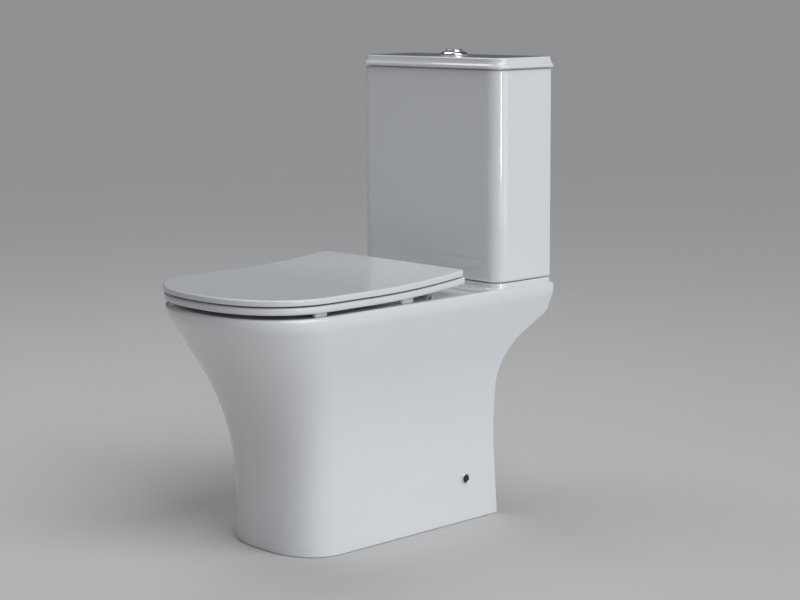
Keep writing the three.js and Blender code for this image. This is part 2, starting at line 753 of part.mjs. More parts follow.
// ---------------------------------------------------------------- fill valve
const floatZ = fillHeadZ - floatTravel - floatHeight - 10;
const armX = fillX + fillHeadRadius + 4.5;
const armPivotY = tankY + 18;
const armPivotZ = fillHeadZ + 14;
const armHalfThickness = 3;
const armHalfWidth = 2.5;

function fillValveShank() {
  const bottomZ = tankBottomZ - fillTailLength;
  const flangeZ = tankFloorZ + valveWasherHeight + 2 * gap;
  return turned(
    [
      [0, bottomZ],
      [fillShankRadius - 1, bottomZ],
      [fillShankRadius, bottomZ + 1],
      [fillShankRadius, flangeZ],
      [fillShankRadius + 8, flangeZ],
      [fillShankRadius + 8, flangeZ + 5],
      [fillShankRadius, flangeZ + 9],
      [fillShankRadius, flangeZ + 26],
      [fillRiserRadius, flangeZ + 32],
      [fillRiserRadius, fillHeadZ - gap],
      [0, fillHeadZ - gap],
    ],
    fillX, tankY, 20,
  );
}
addNode("fill_valve_shank", fillValveShank(), "whitePlastic");
addNode(
  "fill_valve_washer",
  ring(
    fillShankRadius + gap, fillShankRadius + 8,
    tankFloorZ + gap, tankFloorZ + gap + valveWasherHeight, fillX, tankY, 20,
  ),
  "rubber",
);
addNode(
  "fill_valve_lock_nut",
  ring(fillShankRadius + gap, fillNutRadius, tankBottomZ - gap - 9, tankBottomZ - gap, fillX, tankY, 6),
  "greyPlastic",
);

function fillValveHead() {
  let head = turned(
    [
      [0, fillHeadZ],
      [fillHeadRadius - 2, fillHeadZ],
      [fillHeadRadius, fillHeadZ + 2],
      [fillHeadRadius, fillHeadZ + fillHeadHeight - 3],
      [fillHeadRadius - 3, fillHeadZ + fillHeadHeight],
      [0, fillHeadZ + fillHeadHeight],
    ],
    fillX, tankY, 24,
  );
  const ear = [fillX + 8, armX - armHalfWidth - 0.6, armPivotY - 5, armPivotY + 5];
  head = head.add(block(...ear, armPivotZ - 6, armPivotZ + 5));
  return head.add(bar(axleRadius, fillX + 10, armX + armHalfWidth + 2, armPivotY, armPivotZ, 16));
}
addNode("fill_valve_head", fillValveHead(), "greyPlastic");

function floatArm() {
  const endY = armPivotY - floatArmReach - 10;
  const [x0, x1] = [armX - armHalfWidth, armX + armHalfWidth];
  const z0 = armPivotZ - armHalfThickness;
  const z1 = armPivotZ + armHalfThickness;
  let arm = block(x0, x1, endY, armPivotY, z0, z1);
  arm = arm.add(bar(5, x0, x1, armPivotY, armPivotZ, 20));
  return arm.subtract(bar(axleRadius + axleClearance, x0 - EPS, x1 + EPS, armPivotY, armPivotZ, 16));
}
addNode("float_arm", floatArm(), "bluePlastic");

function floatCup() {
  const postY = armPivotY - floatArmReach;
  const topZ = floatZ + floatHeight;
  let cup = ring(fillRiserRadius + 0.8, floatRadius, floatZ, topZ, fillX, tankY, 24);
  cup = cup.add(block(fillX + 12, armX + armHalfWidth, postY - 4, postY + 6, topZ - 8, topZ));
  const postTopZ = armPivotZ - armHalfThickness - floatArmClearance;
  return cup.add(block(armX - armHalfWidth, armX + armHalfWidth, postY - 3, postY + 3, topZ - 4, postTopZ));
}
addNode("float_cup", floatCup(), "whitePlastic");

// ---------------------------------------------------------------- cistern lid and push button
const lidUnderZ = cisternLidTopZ - lidPlate;

function cisternLid() {
  const level = (by, z) => atHeight(tankOutline(by), z);
  const shoulder = lidTopInset - 3;
  let lid = loft([
    level(-lidOverhang + 1, lidBottomZ),
    level(-lidOverhang, lidBottomZ + 1),
    level(-lidOverhang, lidBottomZ + lidLipHeight - 1),
    level(-1, lidBottomZ + lidLipHeight + 4),
    level(shoulder - 1, cisternLidTopZ - 3),
    level(shoulder + 0.2, cisternLidTopZ - 0.9),
    level(lidTopInset - 0.6, cisternLidTopZ),
  ]);
  lid = lid.add(prism(tankOutline(lidRimInset), tankTopZ + gap, lidBottomZ + EPS));
  const locator = tankWall + lidLocatorClearance;
  lid = lid.add(prism(tankOutline(locator), tankTopZ - lidLocatorDepth, lidBottomZ + EPS));
  lid = lid.subtract(prism(tankOutline(locator + 5), tankTopZ - lidLocatorDepth - EPS, lidUnderZ));
  const hole = bezelBarrelRadius + lidHoleClearance;
  return lid.subtract(drum(hole, lidUnderZ - EPS, cisternLidTopZ + EPS, 0, tankY, 28));
}
addNode("cistern_lid", cisternLid(), "ceramic");

const bezelBottomZ = lidUnderZ - 22;
const bezelTopZ = cisternLidTopZ + bezelHeight;

function buttonBezel() {
  const outer = turned(
    [
      [0, bezelBottomZ],
      [bezelBarrelRadius, bezelBottomZ],
      [bezelBarrelRadius, cisternLidTopZ + gap],
      [bezelRadius, cisternLidTopZ + gap],
      [bezelRadius - 0.3, cisternLidTopZ + 1.8],
      [bezelRadius - 1.8, bezelTopZ - 2.4],
      [bezelRadius - 4.2, bezelTopZ - 0.8],
      [bezelRadius - 7.4, bezelTopZ],
      [0, bezelTopZ],
    ],
    0, tankY, 36,
  );
  return outer.subtract(drum(buttonRadius + buttonClearance, bezelBottomZ - EPS, bezelTopZ + EPS, 0, tankY, 36));
}
addNode("button_bezel", buttonBezel(), "chrome");
addNode(
  "bezel_nut",
  ring(bezelBarrelRadius + gap, buttonNutRadius, lidUnderZ - gap - 8, lidUnderZ - gap, 0, tankY, 12),
  "whitePlastic",
);

const buttonBottomZ = bezelBottomZ + 8;
const buttonTopZ = cisternLidTopZ + buttonHeight;
const rodSocketDepth = 12;

function pushButton(x0, x1, rodX, rodY) {
  const whole = turned(
    [
      [0, buttonBottomZ],
      [buttonRadius, buttonBottomZ],
      [buttonRadius, buttonTopZ - 1.6],
      [buttonRadius - 1.2, buttonTopZ - 0.5],
      [buttonRadius - 5, buttonTopZ],
      [0, buttonTopZ],
    ],
    0, tankY, 36,
  );
  const half = whole.intersect(block(x0, x1, tankY - 20, tankY + 20, buttonBottomZ - EPS, buttonTopZ + EPS));
  const socketTopZ = buttonBottomZ + rodSocketDepth;
  return half.subtract(drum(rodRadius + gap, buttonBottomZ - EPS, socketTopZ, rodX, rodY, 12));
}
const rodTopZ = buttonBottomZ + rodSocketDepth - gap;
addNode("full_flush_button", pushButton(-20, buttonSplit - gap, fullRodX, tankY), "chrome");
addNode("full_flush_rod", drum(rodRadius, pinionZ - 5, rodTopZ, fullRodX, tankY, 12), "whitePlastic");
addNode("half_flush_button", pushButton(buttonSplit + gap, 20, halfRodX, halfRodY), "chrome");
addNode("half_flush_rod", drum(rodRadius, pinionZ + 12, rodTopZ, halfRodX, halfRodY, 12), "whitePlastic");

// ---------------------------------------------------------------- seat and seat lid
// The seat and its lid run level and then rise towards the hinges.
const riseAt = (y) => Math.max(y - (hingeY - bendToHinge), 0) ** 2 / (2 * bendRadius);

function bentPlate(outline, edges, stations = 6) {
  return loft(
    edges.map(([by, z]) => frontedOutline(inset(outline, by), 10, stations).map(([x, y]) => [x, y, z + riseAt(y)])),
  );
}

const lidOutline = {
  halfWidth: seatHalfWidth,
  frontY,
  backY: hingeY + lidBehindHinge,
  nose: seatNose,
  squareness: seatSquareness,
  corner: seatCornerRadius,
};
const seatOutline = { ...inset(lidOutline, seatInset), backY: hingeY + seatBehindHinge };

function seatRing() {
  const r = seatEdgeRadius;
  const at = [seatBottomZ, seatTopZ];
  let seat = bentPlate(seatOutline, [
    [r, at[0]],
    [r * 0.3, at[0] + r * 0.3],
    [0, at[0] + r],
    [0, at[1] - r],
    [r * 0.3, at[1] - r * 0.3],
    [r, at[1]],
  ]);
  const holeFrontY = frontY + seatHoleFrontWidth;
  const holeBackY = hingeY - seatHoleToHinge;
  const middle = (holeFrontY + holeBackY) / 2;
  const half = (holeBackY - holeFrontY) / 2;
  seat = seat.subtract(
    loft([
      ovalRing(seatBottomZ - EPS, middle, half, seatHoleHalfWidth),
      ovalRing(seatTopZ + 20, middle, half, seatHoleHalfWidth),
    ]),
  );
  for (const side of [-1, 1]) {
    const x = side * hingeHalfSpacing;
    const [near, far] = [x - side * hingeBarrelHalf, x - side * (hingeBarrelHalf - hingeLugWidth)];
    const notchNear = x - side * (hingeBarrelHalf - hingeLugWidth);
    const notchFar = x + side * (hingeBarrelHalf + hingeSideClearance);
    const notchY = hingeY - hingeBarrelRadius - hingeNotchClearance;
    seat = seat.subtract(block(notchNear, notchFar, notchY, hingeY + 30, seatBottomZ, seatTopZ + 30));
    seat = seat.add(bar(hingeBarrelRadius, near, far, hingeY, hingeZ, 20));
    const webTopZ = seatBottomZ + riseAt(hingeY) + 3;
    seat = seat.add(block(near, far, hingeY - hingeBarrelRadius, hingeY + 4, hingeZ, webTopZ));
    const bore = hingePinRadius + hingePinClearance;
    seat = seat.subtract(bar(bore, near - side * 2, far + side * 2, hingeY, hingeZ, 24));
  }
  return seat;
}
addNode("seat_ring", seatRing(), "seat");

function seatLid() {
  const r = lidEdgeRadius;
  const at = [seatLidBottomZ, seatLidBottomZ + seatLidThickness];
  let lid = bentPlate(lidOutline, [
    [1, at[0]],
    [0, at[0] + 1],
    [0, at[1] - r],
    [r * 0.3, at[1] - r * 0.3],
    [r, at[1]],
  ]);
  for (const side of [-1, 1]) {
    const x = side * hingeHalfSpacing;
    const [near, far] = [x + side * (hingeBarrelHalf - hingeLugWidth), x + side * hingeBarrelHalf];
    lid = lid.add(bar(hingeBarrelRadius, near, far, hingeY, hingeZ, 20));
    const webTopZ = seatLidBottomZ + riseAt(hingeY) + 3;
    lid = lid.add(block(near, far, hingeY - hingeBarrelRadius, hingeY + 1.5, hingeZ, webTopZ));
    const bore = hingePinRadius + hingePinClearance;
    lid = lid.subtract(bar(bore, near - side * 2, far + side * 2, hingeY, hingeZ, 24));
  }
  return lid;
}
addNode("seat_lid", seatLid(), "seat");

const bufferHalf = [5, 13];
for (const [side, hand] of [[1, "l"], [-1, "r"]]) {
  for (const [place, y] of [["front", frontBufferY], ["rear", rearBufferY]]) {
    const x = side * bufferX;
    const topZ = seatBottomZ + riseAt(y - bufferHalf[1]) - gap;
    const plan = boxedOutline(bufferHalf[0], y - bufferHalf[1], y + bufferHalf[1], 4, 4, 2);
    const placed = plan.map(([px, py]) => [px + x, py]);
    addNode(`seat_buffer_${place}_${hand}`, prism(placed, panHeight + gap, topZ), "buffer");
  }
  addNode(
    `lid_buffer_${hand}`,
    drum(6, seatTopZ + gap, seatLidBottomZ - gap, side * lidBufferX, lidBufferY, 16),
    "buffer",
  );
}

// ---------------------------------------------------------------- hinges
for (const [side, hand] of [[1, "l"], [-1, "r"]]) {
  const x = side * hingeHalfSpacing;
  const baseZ = panHeight + gap;
  const half = hingeBarrelHalf - hingeLugWidth - hingeSideClearance;
  const studTopZ = hingeZ - hingePinRadius - 2.2;
  let post = drum(hingeBaseRadius, baseZ, baseZ + hingeBaseHeight, x, hingeY, 24);
  post = post.add(block(x - half, x + half, hingeY - 6.5, hingeY + 6.5, baseZ + 1, hingeZ));
  post = post.add(bar(hingeBarrelRadius, x - half, x + half, hingeY, hingeZ, 20));
  const bore = hingePinRadius + hingePinClearance;
  post = post.subtract(bar(bore, x - half - EPS, x + half + EPS, hingeY, hingeZ, 24));
  post = post.subtract(drum(hingeStudRadius + gap, baseZ - EPS, studTopZ + gap, x, hingeY, 12));
  addNode(`hinge_post_${hand}`, post, "chrome");
  const pinEnd = hingeBarrelHalf + 0.6;
  addNode(`hinge_pin_${hand}`, bar(hingePinRadius, x - pinEnd, x + pinEnd, hingeY, hingeZ, 24), "steel");
  addNode(`hinge_stud_${hand}`, drum(hingeStudRadius, boltBottomZ, studTopZ, x, hingeY, 12), "steel");
  const washer = [hingeStudRadius + gap, hingeWasherRadius];
  addNode(
    `hinge_washer_${hand}`,
    ring(...washer, underDeckNutZ + gap, underDeckNutZ + gap + washerHeight, x, hingeY, 20),
    "rubber",
  );
  addNode(`hinge_wing_nut_${hand}`, wingNut(hingeStudRadius + gap, underDeckNutZ, x, hingeY), "whitePlastic");
}

// ---------------------------------------------------------------- floor fixings
for (const [side, hand] of [[1, "l"], [-1, "r"]]) {
  const wallInner = footHalfWidth - panWall - gap;
  const back = side * (wallInner - bracketDepth);
  const [y0, y1] = [fixingY - bracketWidth / 2, fixingY + bracketWidth / 2];
  const screwEnd = side * (wallInner - bracketDepth + 3);
  let bracket = block(side * wallInner, back, y0, y1, 0, fixingZ + 14);
  bracket = bracket.add(block(side * wallInner, side * (wallInner - bracketDepth - 26), y0, y1, 0, 8));
  const footHoleX = side * (wallInner - bracketDepth - 14);
  bracket = bracket.subtract(drum(4.5, -EPS, 8 + EPS, footHoleX, fixingY, 16));
  const screwBore = screwRadius + gap;
  bracket = bracket.subtract(
    bar(screwBore, side * (wallInner + EPS), screwEnd - side * gap, fixingY, fixingZ, 12),
  );
  addNode(`floor_bracket_${hand}`, bracket, "whitePlastic");
  const headX = side * (footHalfWidth - panWall + 4);
  let screw = bar(screwRadius, screwEnd, headX, fixingY, fixingZ, 12);
  screw = screw.add(bar(fixingHoleRadius - 1, headX - side * 0.5, headX + side * 3, fixingY, fixingZ, 16));
  addNode(`side_screw_${hand}`, screw, "steel");
  const face = side * (footHalfWidth + gap);
  let cap = bar(fixingHoleRadius - 0.5, headX + side * 3.5, face + side * 0.5, fixingY, fixingZ, 16);
  const disc = turned(
    [[0, 0], [capRadius, 0], [capRadius, 1], [capRadius - 1.4, capHeight], [0, capHeight]],
    0, 0, 28,
  );
  cap = cap.add(disc.transform([0, 1, 0, 0, 0, 0, 1, 0, side, 0, 0, 0, face, fixingY, fixingZ, 1]));
  addNode(`screw_cap_${hand}`, cap, "chrome");
}

export default part;
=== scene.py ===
import json
import math

import bmesh
import bpy
from mathutils import Matrix, Vector


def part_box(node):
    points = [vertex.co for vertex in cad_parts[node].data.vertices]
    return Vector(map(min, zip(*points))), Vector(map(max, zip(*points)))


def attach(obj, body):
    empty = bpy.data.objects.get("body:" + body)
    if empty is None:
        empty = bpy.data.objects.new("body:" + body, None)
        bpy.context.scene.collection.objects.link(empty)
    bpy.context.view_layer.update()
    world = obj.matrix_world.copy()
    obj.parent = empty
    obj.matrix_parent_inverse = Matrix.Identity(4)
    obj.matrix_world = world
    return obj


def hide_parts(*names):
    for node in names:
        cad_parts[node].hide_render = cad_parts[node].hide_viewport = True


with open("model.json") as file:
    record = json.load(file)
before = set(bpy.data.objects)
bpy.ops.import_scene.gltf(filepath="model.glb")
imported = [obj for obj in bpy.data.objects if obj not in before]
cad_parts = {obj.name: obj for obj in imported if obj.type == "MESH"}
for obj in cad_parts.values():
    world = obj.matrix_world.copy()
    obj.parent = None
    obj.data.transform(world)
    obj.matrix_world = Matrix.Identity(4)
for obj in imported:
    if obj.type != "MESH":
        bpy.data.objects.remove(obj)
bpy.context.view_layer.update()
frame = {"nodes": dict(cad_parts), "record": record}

# ---------------------------------------------------------------- places read from the CAD frame
PAN_LOW, PAN_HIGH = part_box("pan")
TANK_LOW, TANK_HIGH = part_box("cistern")
COVER_LOW, COVER_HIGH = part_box("cistern_lid")
SEAT_LOW, SEAT_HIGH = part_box("seat_ring")
LID_LOW, LID_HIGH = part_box("seat_lid")
BEZEL_LOW, BEZEL_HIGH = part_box("button_bezel")
POST_LOW, POST_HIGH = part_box("hinge_post_l")

GAP = 0.0003                          # play between pieces that rest on each other
DECK_Z = POST_LOW.z - GAP             # the hinge posts stand on the deck
HINGE_X = (POST_LOW.x + POST_HIGH.x) / 2
HINGE_Y = (POST_LOW.y + POST_HIGH.y) / 2
HINGE_Z = DECK_Z + 0.014              # height of the seat's and the lid's pins
TANK_Y = (TANK_LOW.y + TANK_HIGH.y) / 2
WALL_Y = PAN_HIGH.y
RIM_HALF = PAN_HIGH.x
RIM_FRONT = PAN_LOW.y
PLINTH_Z = PAN_HIGH.z
ON_AXIS = 1e-4                        # a profile point nearer the axis than this lies on it


# ---------------------------------------------------------------- meshes
SHARP_DEG = 32                        # an edge that turns more than this stays sharp
MERGE_DIST, SLIVER_DIST = 1e-6, 1e-7


def new_mesh(name, verts, faces):
    mesh = bpy.data.meshes.new(name)
    mesh.from_pydata([tuple(v) for v in verts], [], faces)
    obj = bpy.data.objects.new(name, mesh)
    bpy.context.collection.objects.link(obj)
    return obj


def smooth(obj, degrees):
    """Smooth shading, with sharp edges where the surface turns by more than an angle."""
    for poly in obj.data.polygons:
        poly.use_smooth = True
    obj.data.set_sharp_from_angle(angle=math.radians(degrees))


def finish_mesh(obj):
    """Joins doubled points, turns the faces outwards and shades the surface."""
    bm = bmesh.new()
    bm.from_mesh(obj.data)
    bmesh.ops.remove_doubles(bm, verts=bm.verts, dist=MERGE_DIST)
    bmesh.ops.dissolve_degenerate(bm, edges=bm.edges, dist=SLIVER_DIST)
    bmesh.ops.recalc_face_normals(bm, faces=bm.faces)
    bm.to_mesh(obj.data)
    bm.free()
    smooth(obj, SHARP_DEG)
    return obj


def cut_away(obj, cutter):
    """Takes the cutter's volume out of a piece, and removes the cutter."""
    modifier = obj.modifiers.new("cut", "BOOLEAN")
    modifier.operation = "DIFFERENCE"
    modifier.solver = "EXACT"
    modifier.object = cutter
    bpy.context.view_layer.update()
    cut = bpy.data.meshes.new_from_object(obj.evaluated_get(bpy.context.evaluated_depsgraph_get()))
    obj.modifiers.clear()
    old = obj.data
    obj.data = cut
    bpy.data.meshes.remove(old)
    bpy.data.objects.remove(cutter)


def stack(name, rings, cap_ends=True):
    """A closed skin over rings of points that all have the same count."""
    n = len(rings[0])
    verts = [p for r in rings for p in r]
    faces = []
    for r in range(len(rings) - 1):
        for i in range(n):
            j = (i + 1) % n
            faces.append((r * n + i, r * n + j, (r + 1) * n + j, (r + 1) * n + i))
    if cap_ends:
        faces.append(tuple(range(n))[::-1])
        faces.append(tuple(range((len(rings) - 1) * n, len(rings) * n)))
    return new_mesh(name, verts, faces)


def quarter(steps):
    """Angles of a quarter turn."""
    return [k / steps * math.pi / 2 for k in range(steps + 1)]


def spread(start, end, count):
    """Even steps from the start that stop one short of the end."""
    return [start + k * (end - start) / count for k in range(count)]


def blend(ring, other, t):
    return [tuple(a + (b - a) * t for a, b in zip(p, q)) for p, q in zip(ring, other)]


def turned(name, profile, centre, steps=72, axis="Z"):
    """A closed turned piece. The profile's [radius, height] points form a closed loop, or end on the axis."""
    x0, y0, z0 = centre
    on_axis = profile[0][0] < ON_AXIS
    verts, faces, rows = [], [], []
    for radius, height in profile:
        if radius < ON_AXIS:
            rows.append([len(verts)] * steps)
            verts.append((0, 0, height))
            continue
        rows.append(list(range(len(verts), len(verts) + steps)))
        for k in range(steps):
            a = 2 * math.pi * k / steps
            verts.append((radius * math.cos(a), radius * math.sin(a), height))
    pairs = list(zip(rows, rows[1:]))
    if not on_axis:
        pairs.append((rows[-1], rows[0]))
    for low, high in pairs:
        for k in range(steps):
            m = (k + 1) % steps
            face = []
            for v in (low[k], low[m], high[m], high[k]):
                if v not in face:
                    face.append(v)
            if len(face) > 2:
                faces.append(face)
    if axis == "X":
        verts = [(h, a, b) for a, b, h in verts]
    elif axis == "-X":
        verts = [(-h, a, b) for a, b, h in verts]
    return new_mesh(name, [(x + x0, y + y0, z + z0) for x, y, z in verts], faces)


def fillet(points, radius, steps=5):
    """A [radius, height] profile with its inner corners rounded. A point may carry its own radius."""
    out = []
    for i, point in enumerate(points):
        r = point[2] if len(point) > 2 else radius
        here = Vector(point[:2])
        if i in (0, len(points) - 1) or r <= 0:
            out.append(tuple(here))
            continue
        back = Vector(points[i - 1][:2]) - here
        on = Vector(points[i + 1][:2]) - here
        r_in = min(r, back.length * 0.48, on.length * 0.48)
        a, b = here + back.normalized() * r_in, here + on.normalized() * r_in
        for k in range(steps + 1):
            t = k / steps
            out.append(tuple(a * (1 - t) ** 2 + here * 2 * t * (1 - t) + b * t ** 2))
    return out


def tube(name, path, radii, steps=48):
    """A closed round tube on a path in the middle plane. radii is (bore, outside), with None for no bore."""
    bore, outside = radii
    rings = []
    for radius in ([outside] if bore is None else [outside, bore]):
        loop = []
        for k, p in enumerate(path):
            ahead = path[min(k + 1, len(path) - 1)] - path[max(k - 1, 0)]
            along = ahead.normalized()
            side = Vector((1, 0, 0))
            up = side.cross(along)
            loop.append([p + radius * (side * math.cos(2 * math.pi * j / steps)
                                       + up * math.sin(2 * math.pi * j / steps)) for j in range(steps)])
        rings += loop if radius == outside else loop[::-1]
    if bore is None:
        return stack(name, rings)
    return stack(name, rings + [rings[0]], cap_ends=False)


# ---------------------------------------------------------------- outlines shared by pan, seat and lid
def nose_point(half, length, squareness, t):
    a = t * math.pi / 2
    return half * math.cos(a) ** (2 / squareness), length * math.sin(a) ** (2 / squareness)


NOSE_STEPS = 44
NOSE_CROWDING = 0.04        # draws the nose's points together where it turns most
SIDE_STEPS = 30
CORNER_STEPS = 6
BACK_STEPS = 16


def fronted(half, front, back, nose, squareness, corner):
    """Plan points from the middle of the back, round the +X side to the tip, and on round the -X side."""
    right = [((half - corner) * k / BACK_STEPS, back) for k in range(BACK_STEPS)]
    for k in range(CORNER_STEPS):
        a = math.pi / 2 * (1 - k / CORNER_STEPS)
        right.append((half - corner + corner * math.cos(a), back - corner + corner * math.sin(a)))
    nose_y = front + nose
    top = back - corner
    for k in range(SIDE_STEPS):
        right.append((half, top + (nose_y - top) * k / SIDE_STEPS))
    for k in range(NOSE_STEPS):
        t = k / NOSE_STEPS
        t = t + NOSE_CROWDING * math.sin(2 * math.pi * t)
        x, y = nose_point(half, nose, squareness, min(t, 1))
        right.append((x, nose_y - y))
    right.append((0.0, front))
    return right + [(-x, y) for x, y in right[-2:0:-1]]


COLUMNS = 2 * (BACK_STEPS + CORNER_STEPS + SIDE_STEPS + NOSE_STEPS)
REAR = BACK_STEPS + CORNER_STEPS        # columns from the middle of the back to the start of the side


def at_z(points, z):
    return [(x, y, z) for x, y in points]


# ---------------------------------------------------------------- pan
FOOT_HALF = RIM_HALF - 0.060
FOOT_FRONT = RIM_FRONT + 0.124
FOOT_NOSE, RIM_NOSE = 0.090, 0.139                # length of the plan's round front
FOOT_SQUARENESS, RIM_SQUARENESS = 2.6, 2.3
PAN_CORNER, MIN_CORNER = 0.008, 0.002
FLARE_Z, FLARE_R, FLARE_A = 0.095, 0.395, math.radians(33)
EDGE_R = 0.0055                                   # round of the deck's edge
SHOULDER_DROP = 0.025                             # the flare turns upright over this height under the deck
SHELF_LIP_Z = DECK_Z - 0.083                      # the open back ends under the shelf's lip


def flare(z):
    """How far the side has come out at a height: 0 at the foot, 1 at the deck's edge."""
    edge = DECK_Z - EDGE_R
    shoulder = DECK_Z - SHOULDER_DROP
    arc_top = FLARE_Z + FLARE_R * math.sin(FLARE_A)
    turn_r = (edge - shoulder) / math.sin(FLARE_A)

    def reach(h):
        up = max(h - FLARE_Z, 0)
        if h <= arc_top:
            return FLARE_R - math.sqrt(FLARE_R ** 2 - up ** 2)
        arc = FLARE_R * (1 - math.cos(FLARE_A))
        line = (min(h, shoulder) - arc_top) * math.tan(FLARE_A)
        if h <= shoulder:
            return arc + line
        below = max(edge - h, 0)
        return arc + line + math.sqrt(turn_r ** 2 - below ** 2) - turn_r * math.cos(FLARE_A)

    return reach(z) / reach(edge)


def back_inset(z):
    """How far the edge of the open back lies in front of the wall plane."""
    rake, arc_a, lip_a = math.radians(4.4), math.radians(57), math.radians(7)
    arc_z, arc_r, corner_r, corner_z = DECK_Z - 0.180, 0.106, 0.015, DECK_Z - 0.058
    base = 0.0785
    arc_inset = base + arc_z * math.tan(rake)
    if z <= arc_z:
        return base + z * math.tan(rake)
    arc_top = arc_z + arc_r * (math.sin(rake) + math.sin(arc_a))
    if z <= arc_top:
        a = math.asin((z - arc_z) / arc_r - math.sin(rake))
        return arc_inset + arc_r * (math.cos(a) - math.cos(rake))
    top = arc_inset + arc_r * (math.cos(arc_a) - math.cos(rake))
    if z <= corner_z:
        return top - (z - arc_top) * math.tan(arc_a)
    corner = top - (corner_z - arc_top) * math.tan(arc_a)
    corner_top = corner_z + corner_r * (math.sin(arc_a) - math.sin(lip_a))
    if z <= corner_top:
        a = math.asin(math.sin(arc_a) - (z - corner_z) / corner_r)
        return corner - corner_r * (math.cos(a) - math.cos(arc_a))
    lip = corner - corner_r * (math.cos(lip_a) - math.cos(arc_a))
    return max(lip - (z - corner_top) * math.tan(lip_a), 0)


def pan_outline(z, by=0.0):
    """The pan's plan at a height, drawn in by a distance."""
    f = flare(min(z, DECK_Z - EDGE_R))

    def mix(foot, rim):
        return foot + (rim - foot) * f

    return fronted(
        mix(FOOT_HALF, RIM_HALF) - by, mix(FOOT_FRONT, RIM_FRONT) + by,
        WALL_Y - back_inset(max(z, 0)) - by,
        mix(FOOT_NOSE, RIM_NOSE) - by, mix(FOOT_SQUARENESS, RIM_SQUARENESS), max(PAN_CORNER - by, MIN_CORNER))


BOWL_FRONT = RIM_FRONT + 0.046
BOWL_BACK = HINGE_Y - 0.070
BOWL_HALF = RIM_HALF - 0.056
BOWL_Y = (BOWL_FRONT + BOWL_BACK) / 2
BOWL_LEN = (BOWL_BACK - BOWL_FRONT) / 2
SUMP_Y, SUMP = BOWL_Y + 0.062, 0.036
BOWL_FLOOR = 0.052
WALL = 0.012                                      # thickness of the skirt
BOWL_WALL = 0.008
DECK_UNDER = DECK_Z - 0.016
MOUTH_R = 0.009                                   # round of the bowl's mouth
BOWL_DEPTH_USED = 0.985                           # the bottom dome takes up the rest
BOWL_DOME, SHELL_DOME = 0.012, 0.014              # how far the dome drops, inside and outside
OVAL_FRONT, OVAL_BACK = 2.6, 2.25                 # squareness of the bowl's two halves
FOOT_ROUND = {0.0: 0.0016, 0.0004: 0.0008, 0.0012: 0.0002}      # inset of the foot's edge at each height


def oval(z, centre, length, half):
    """A level slice of the bowl with its points spread to face the pan's columns."""
    half_count = COLUMNS // 2
    right = []
    for k in range(half_count + 1):
        t = k / half_count * 2
        if t <= 1:
            x, y = nose_point(half, length, OVAL_FRONT, 1 - t)
        else:
            x, y = nose_point(half, -length, OVAL_BACK, t - 1)
        right.append((x if 0 < k < half_count else 0.0, centre + y, z))
    return right + [(-x, y, z) for x, y, z in right[-2:0:-1]]


def bowl_ring(z, grow=0.0):
    t = min(max((z - BOWL_FLOOR) / (DECK_Z - BOWL_FLOOR), 0), 1)
    wide = t ** 1.05 * (1.62 - 0.62 * t)              # opens fast above the sump, slowly under the mouth
    length = SUMP + (BOWL_LEN - SUMP) * wide + grow
    half = SUMP + (BOWL_HALF - SUMP) * wide + grow
    return oval(z, SUMP_Y + (BOWL_Y - SUMP_Y) * t, length, half)


def sump_bottom(last, steps, depth):
    """Rings that close the sump in a shallow dome under its last ring."""
    rings = []
    for a in quarter(steps)[1:-1]:
        s = math.cos(a)
        drop = depth * math.sin(a)
        rings.append([(x * s, SUMP_Y + (y - SUMP_Y) * s, z - drop) for x, y, z in last])
    return rings


def pan_heights():
    """Heights of the side's rings, and the row where the shelf's lip begins."""
    heights = [0.0, 0.0004, 0.0012, 0.0025]
    heights += spread(0.02, FLARE_Z, 3) + spread(FLARE_Z, SHELF_LIP_Z, 26)
    lip_row = len(heights)
    heights += spread(SHELF_LIP_Z, DECK_Z - SHOULDER_DROP, 12)
    heights += spread(DECK_Z - SHOULDER_DROP, DECK_Z - EDGE_R, 8)
    return heights, lip_row


def pan_outside(heights):
    """Rings from the foot up the side, over the edge, across the deck and down into the bowl."""
    rings = [at_z(pan_outline(z, FOOT_ROUND.get(z, 0.0)), z) for z in heights]
    for a in quarter(6):
        z = DECK_Z - EDGE_R * (1 - math.sin(a))
        rings.append(at_z(pan_outline(DECK_Z, EDGE_R * (1 - math.cos(a))), z))
    rim, mouth = rings[-1], bowl_ring(DECK_Z, MOUTH_R)
    rings += [blend(rim, mouth, k / 9) for k in range(1, 9)]
    for a in quarter(6):
        z = DECK_Z - MOUTH_R * (1 - math.cos(a))
        rings.append([(x, y, z) for x, y, _ in bowl_ring(DECK_Z, MOUTH_R * (1 - math.sin(a)))])
    mouth_z = DECK_Z - MOUTH_R
    depth = mouth_z - BOWL_FLOOR
    rings += [bowl_ring(mouth_z - depth * k / 40 * BOWL_DEPTH_USED) for k in range(1, 41)]
    return rings + sump_bottom(rings[-1], 7, BOWL_DOME)


def pan_inside(heights):
    """Rings from the foot up inside the skirt, under the deck and down round the bowl's shell."""
    levels = [z for z in heights if z < DECK_UNDER - 0.02] + [DECK_UNDER - 0.006, DECK_UNDER]
    rings = [at_z(pan_outline(max(z, 0.003), WALL if z > 0 else WALL - 0.0012), z) for z in levels]
    edge, shell = rings[-1], bowl_ring(DECK_UNDER, BOWL_WALL)
    rings += [blend(edge, shell, k / 6) for k in range(1, 6)]
    rings += [bowl_ring(DECK_UNDER - (DECK_UNDER - BOWL_FLOOR) * k / 25, BOWL_WALL) for k in range(26)]
    return rings + sump_bottom(rings[-1], 6, SHELL_DOME)


